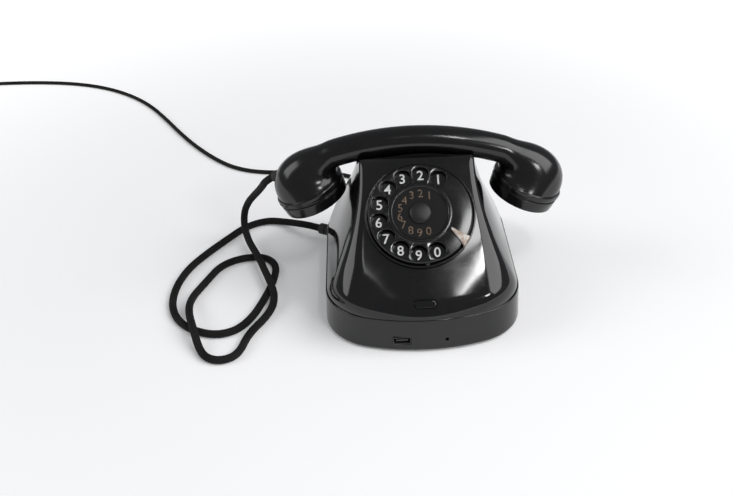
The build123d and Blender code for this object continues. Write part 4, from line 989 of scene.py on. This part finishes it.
makeDialBase()
makeWheel()
makeDialMiddle()
makeFigures("dialFigures", dial["figureCircle"], dial["figure"], dial["plate"], whiteInk, "base",
            dial["figureBold"])
makeFigures("labelFigures", dial["smallCircle"], dial["smallFigure"], dial["labelLow"] + dial["labelThick"],
            tanInk, "dial", 0.0)
makeFingerStop()
print("dial made")


# push button and the collars of the cords
def makeButton():
    # oval key: flange, straight stem, rounded edge and a faintly domed top
    b = button
    t = np.linspace(0, pi / 2, 8)
    inset = np.concatenate([[0], b["round"] * (1 - np.cos(t)), [1.5, 2.1, 2.8, b["height"] / 2 - 0.001]])
    dome = np.array([-0.08, -0.04, -0.01, 0.0])
    edge = -b["dome"] - b["round"] * (1 - np.sin(t))
    height = np.concatenate([[-b["stem"]], edge - b["sunk"], dome - b["sunk"]])
    x, y = ovalRing(b["width"], b["height"], inset)
    key = buttonPlane.at(x, y, height[:, None] + 0 * x)
    flange = ovalWall(b["flange"], -b["stem"] - b["flangeThick"], -b["stem"])
    mesh = cleaned(gridMesh("pushButton", np.concatenate([poleRow(flange[0]), flange, key])), 40)
    piece = place("pushButton", mesh, housingBlack, "button", "push_button")


# corners are (radius, height) on the collar's own axis, bends the rounding of the inner ones
collars = {
    "cordCollar": {
        "corners": [(0, 26), (5.9, 26), (5.9, 29.5), (4.9, 29.5), (4.9, 40), (4.9, 46.6), (4.3, 47),
                    (4.3, 47.8), (4.9, 48.2), (4.9, 54), (3.2, 54), (0, 53.6)],
        "bends": [0.3, 0.3, 0.2, 0.1, 0.2, 0.2, 0.2, 0.2, 0.8, 0.2],
    },
    "lineCollar": {
        "corners": [(0, -10.5), (5.2, -10.5), (5.2, -7), (4.2, -7), (4.2, 4), (4.0, 7), (3.2, 13.2),
                    (2.9, 14), (2.1, 14), (0, 13.8)],
        "bends": [0.3, 0.3, 0.2, 0.1, 0.6, 0.4, 0.3, 0.3],
    },
    "handsetCollar": {
        "corners": [(0, 0.3), (4.8, 0.3), (4.8, 11), (4.5, 12.6), (4.2, 14.8), (3.2, 15.6), (0, 15.3)],
        "bends": [0.3, 1.0, 0.5, 0.5, 0.3], "way": (-0.88, 0.34, -0.33), "long": 15.6,
    },
}


def makeCollar(name, plane, body, node):
    # moulded collar with a rib at its root and a rolled mouth
    profile = rounded(collars[name]["corners"], collars[name]["bends"])
    mesh = cleaned(gridMesh(name, lathe(plane, profile, 64)))
    piece = place(name, mesh, rubberBlack, body, node)


# the handset's collar reaches back from the cord's last point
mouth = Plane(handsetCord["route"][-1], collars["handsetCollar"]["way"], (0, 0, 1))
mouth.origin = mouth.at(0.0, 0.0, -collars["handsetCollar"]["long"])
makeButton()
makeCollar("cordCollar", glandPlane, "base", "cord_gland")
makeCollar("lineCollar", lineGlandPlane, "base", "line_gland")
makeCollar("handsetCollar", mouth, "handset", "handset_grommet")
print("button and collars made")


# finishes of the CAD nodes that stay
nodeFinish = {
    steel: ("base_plate base_screws dial_case dial_screws dial_shaft governor_bridge governor_drum "
            "hook_frame hook_bar button_bracket gong_posts ringer_yoke clapper governor_spindle "
            "return_spring hook_springs button_spring"),
    brass: "drive_gear governor_weights pulse_contacts plug_pins capsule_contacts terminal_screws gongs",
    copper: "ringer_coils",
    brownResin: ("hook_contacts induction_coil capacitor terminal_block board_spacers receiver_capsule "
                 "transmitter_capsule hook_plungers"),
    rubberBlack: "feet cord_tie plug_body",
    boardGreen: "charging_board",
    socketMetal: "charging_socket",
    lampDark: "indicator_lamp",
}
for finish, names in nodeFinish.items():
    for name in names.split():
        nodes[name].data.materials.clear()
        nodes[name].data.materials.append(finish)

# the button's spring gets a mesh of its own; its pad lies below the button's stem
springPad = buttonPlane.at(0.0, 0.0, -button["stem"] - button["springPad"])
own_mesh(nodes["button_spring"], "button_press", axis=tuple(buttonPlane.z), anchor=tuple(springPad * mm),
          keep=0.7)
print("inner pieces finished")


# white table and soft studio light, in metres
studio = {
    "floor": (0.93, 0.93, 0.935), "world": (0.22, 0.225, 0.235), "table": 12,
    "glow": 0.105, "farGlow": 0.42, "glowRise": (0.25, 0.9), "glowFade": (1.2, 3.0),
    # name: place, what it faces, width and height, watts
    "lamps": {
        "key": ((2.05, -0.55, 2.12), (0, 0, 0.03), (2.4, 2.4), 60),
        "panel": ((0.36, -0.765, 1.455), (0.04, -0.06, 0.058), (0.1, 0.16), 1.9),
        "upper panel": ((0.296, -0.629, 1.54), (0.045, -0.045, 0.072), (0.2, 0.11), 0.95),
        "left panel": ((-0.16, -0.735, 1.505), (-0.05, -0.05, 0.067), (0.02, 0.2), 0.065),
        "window": ((0.97, -1.41, 1.19), (0.08, 0.01, 0.11), (0.35, 0.25), 5.5),
        "fill": ((-2.5, -0.1, 1.7), (0, 0, 0.05), (1.6, 1.6), 20),
    },
}


def areaLight(name, spot, target, size, power):
    data = bpy.data.lights.new(name, "AREA")
    data.shape, data.energy = "RECTANGLE", power
    data.size, data.size_y = size
    lamp = addObject(name, data)
    lamp.location = spot
    lamp.rotation_euler = (Vector(target) - Vector(spot)).to_track_quat("-Z", "Y").to_euler()


def paper(wire, where):
    # matt white that glows a little for the rays that see it, more so farther off, and fades out of view
    seen = wire.node("ShaderNodeLightPath", out="Is Camera Ray")
    for ray in ("Is Glossy Ray", "Is Transmission Ray"):
        seen = seen + wire.node("ShaderNodeLightPath", out=ray)
    away = wire.node("ShaderNodeVectorMath", {"operation": "LENGTH"}, {0: where}, 1)
    near = away.between(*studio["glowRise"], studio["glow"], studio["farGlow"])
    glow = near * away.between(*studio["glowFade"], 1.0, 0.0) * wire.math("MINIMUM", seen, 1.0)
    return {"Emission Color": glow.blendTones((0, 0, 0), (1, 1, 1))}


def makeStudio():
    reach = studio["table"]
    table = bpy.data.meshes.new("table")
    corners = [(-reach, -reach, 0), (reach, -reach, 0), (reach, reach, 0), (-reach, reach, 0)]
    table.from_pydata(corners, [], [(0, 1, 2, 3)])
    floor = addObject("table", table)
    table.materials.append(finishOf("white table", paper, Base_Color=(*studio["floor"], 1), Roughness=0.9,
                                    Specular_IOR_Level=0.0, Emission_Strength=1.0))
    world = bpy.data.worlds.new("studio")
    bpy.context.scene.world = world
    world.use_nodes = True
    background = world.node_tree.nodes["Background"]
    background.inputs["Color"].default_value = (*studio["world"], 1)
    for name, lamp in studio["lamps"].items():
        areaLight(name, *lamp)
    bpy.context.scene.view_settings.view_transform = "Standard"


makeStudio()
print("scene complete")
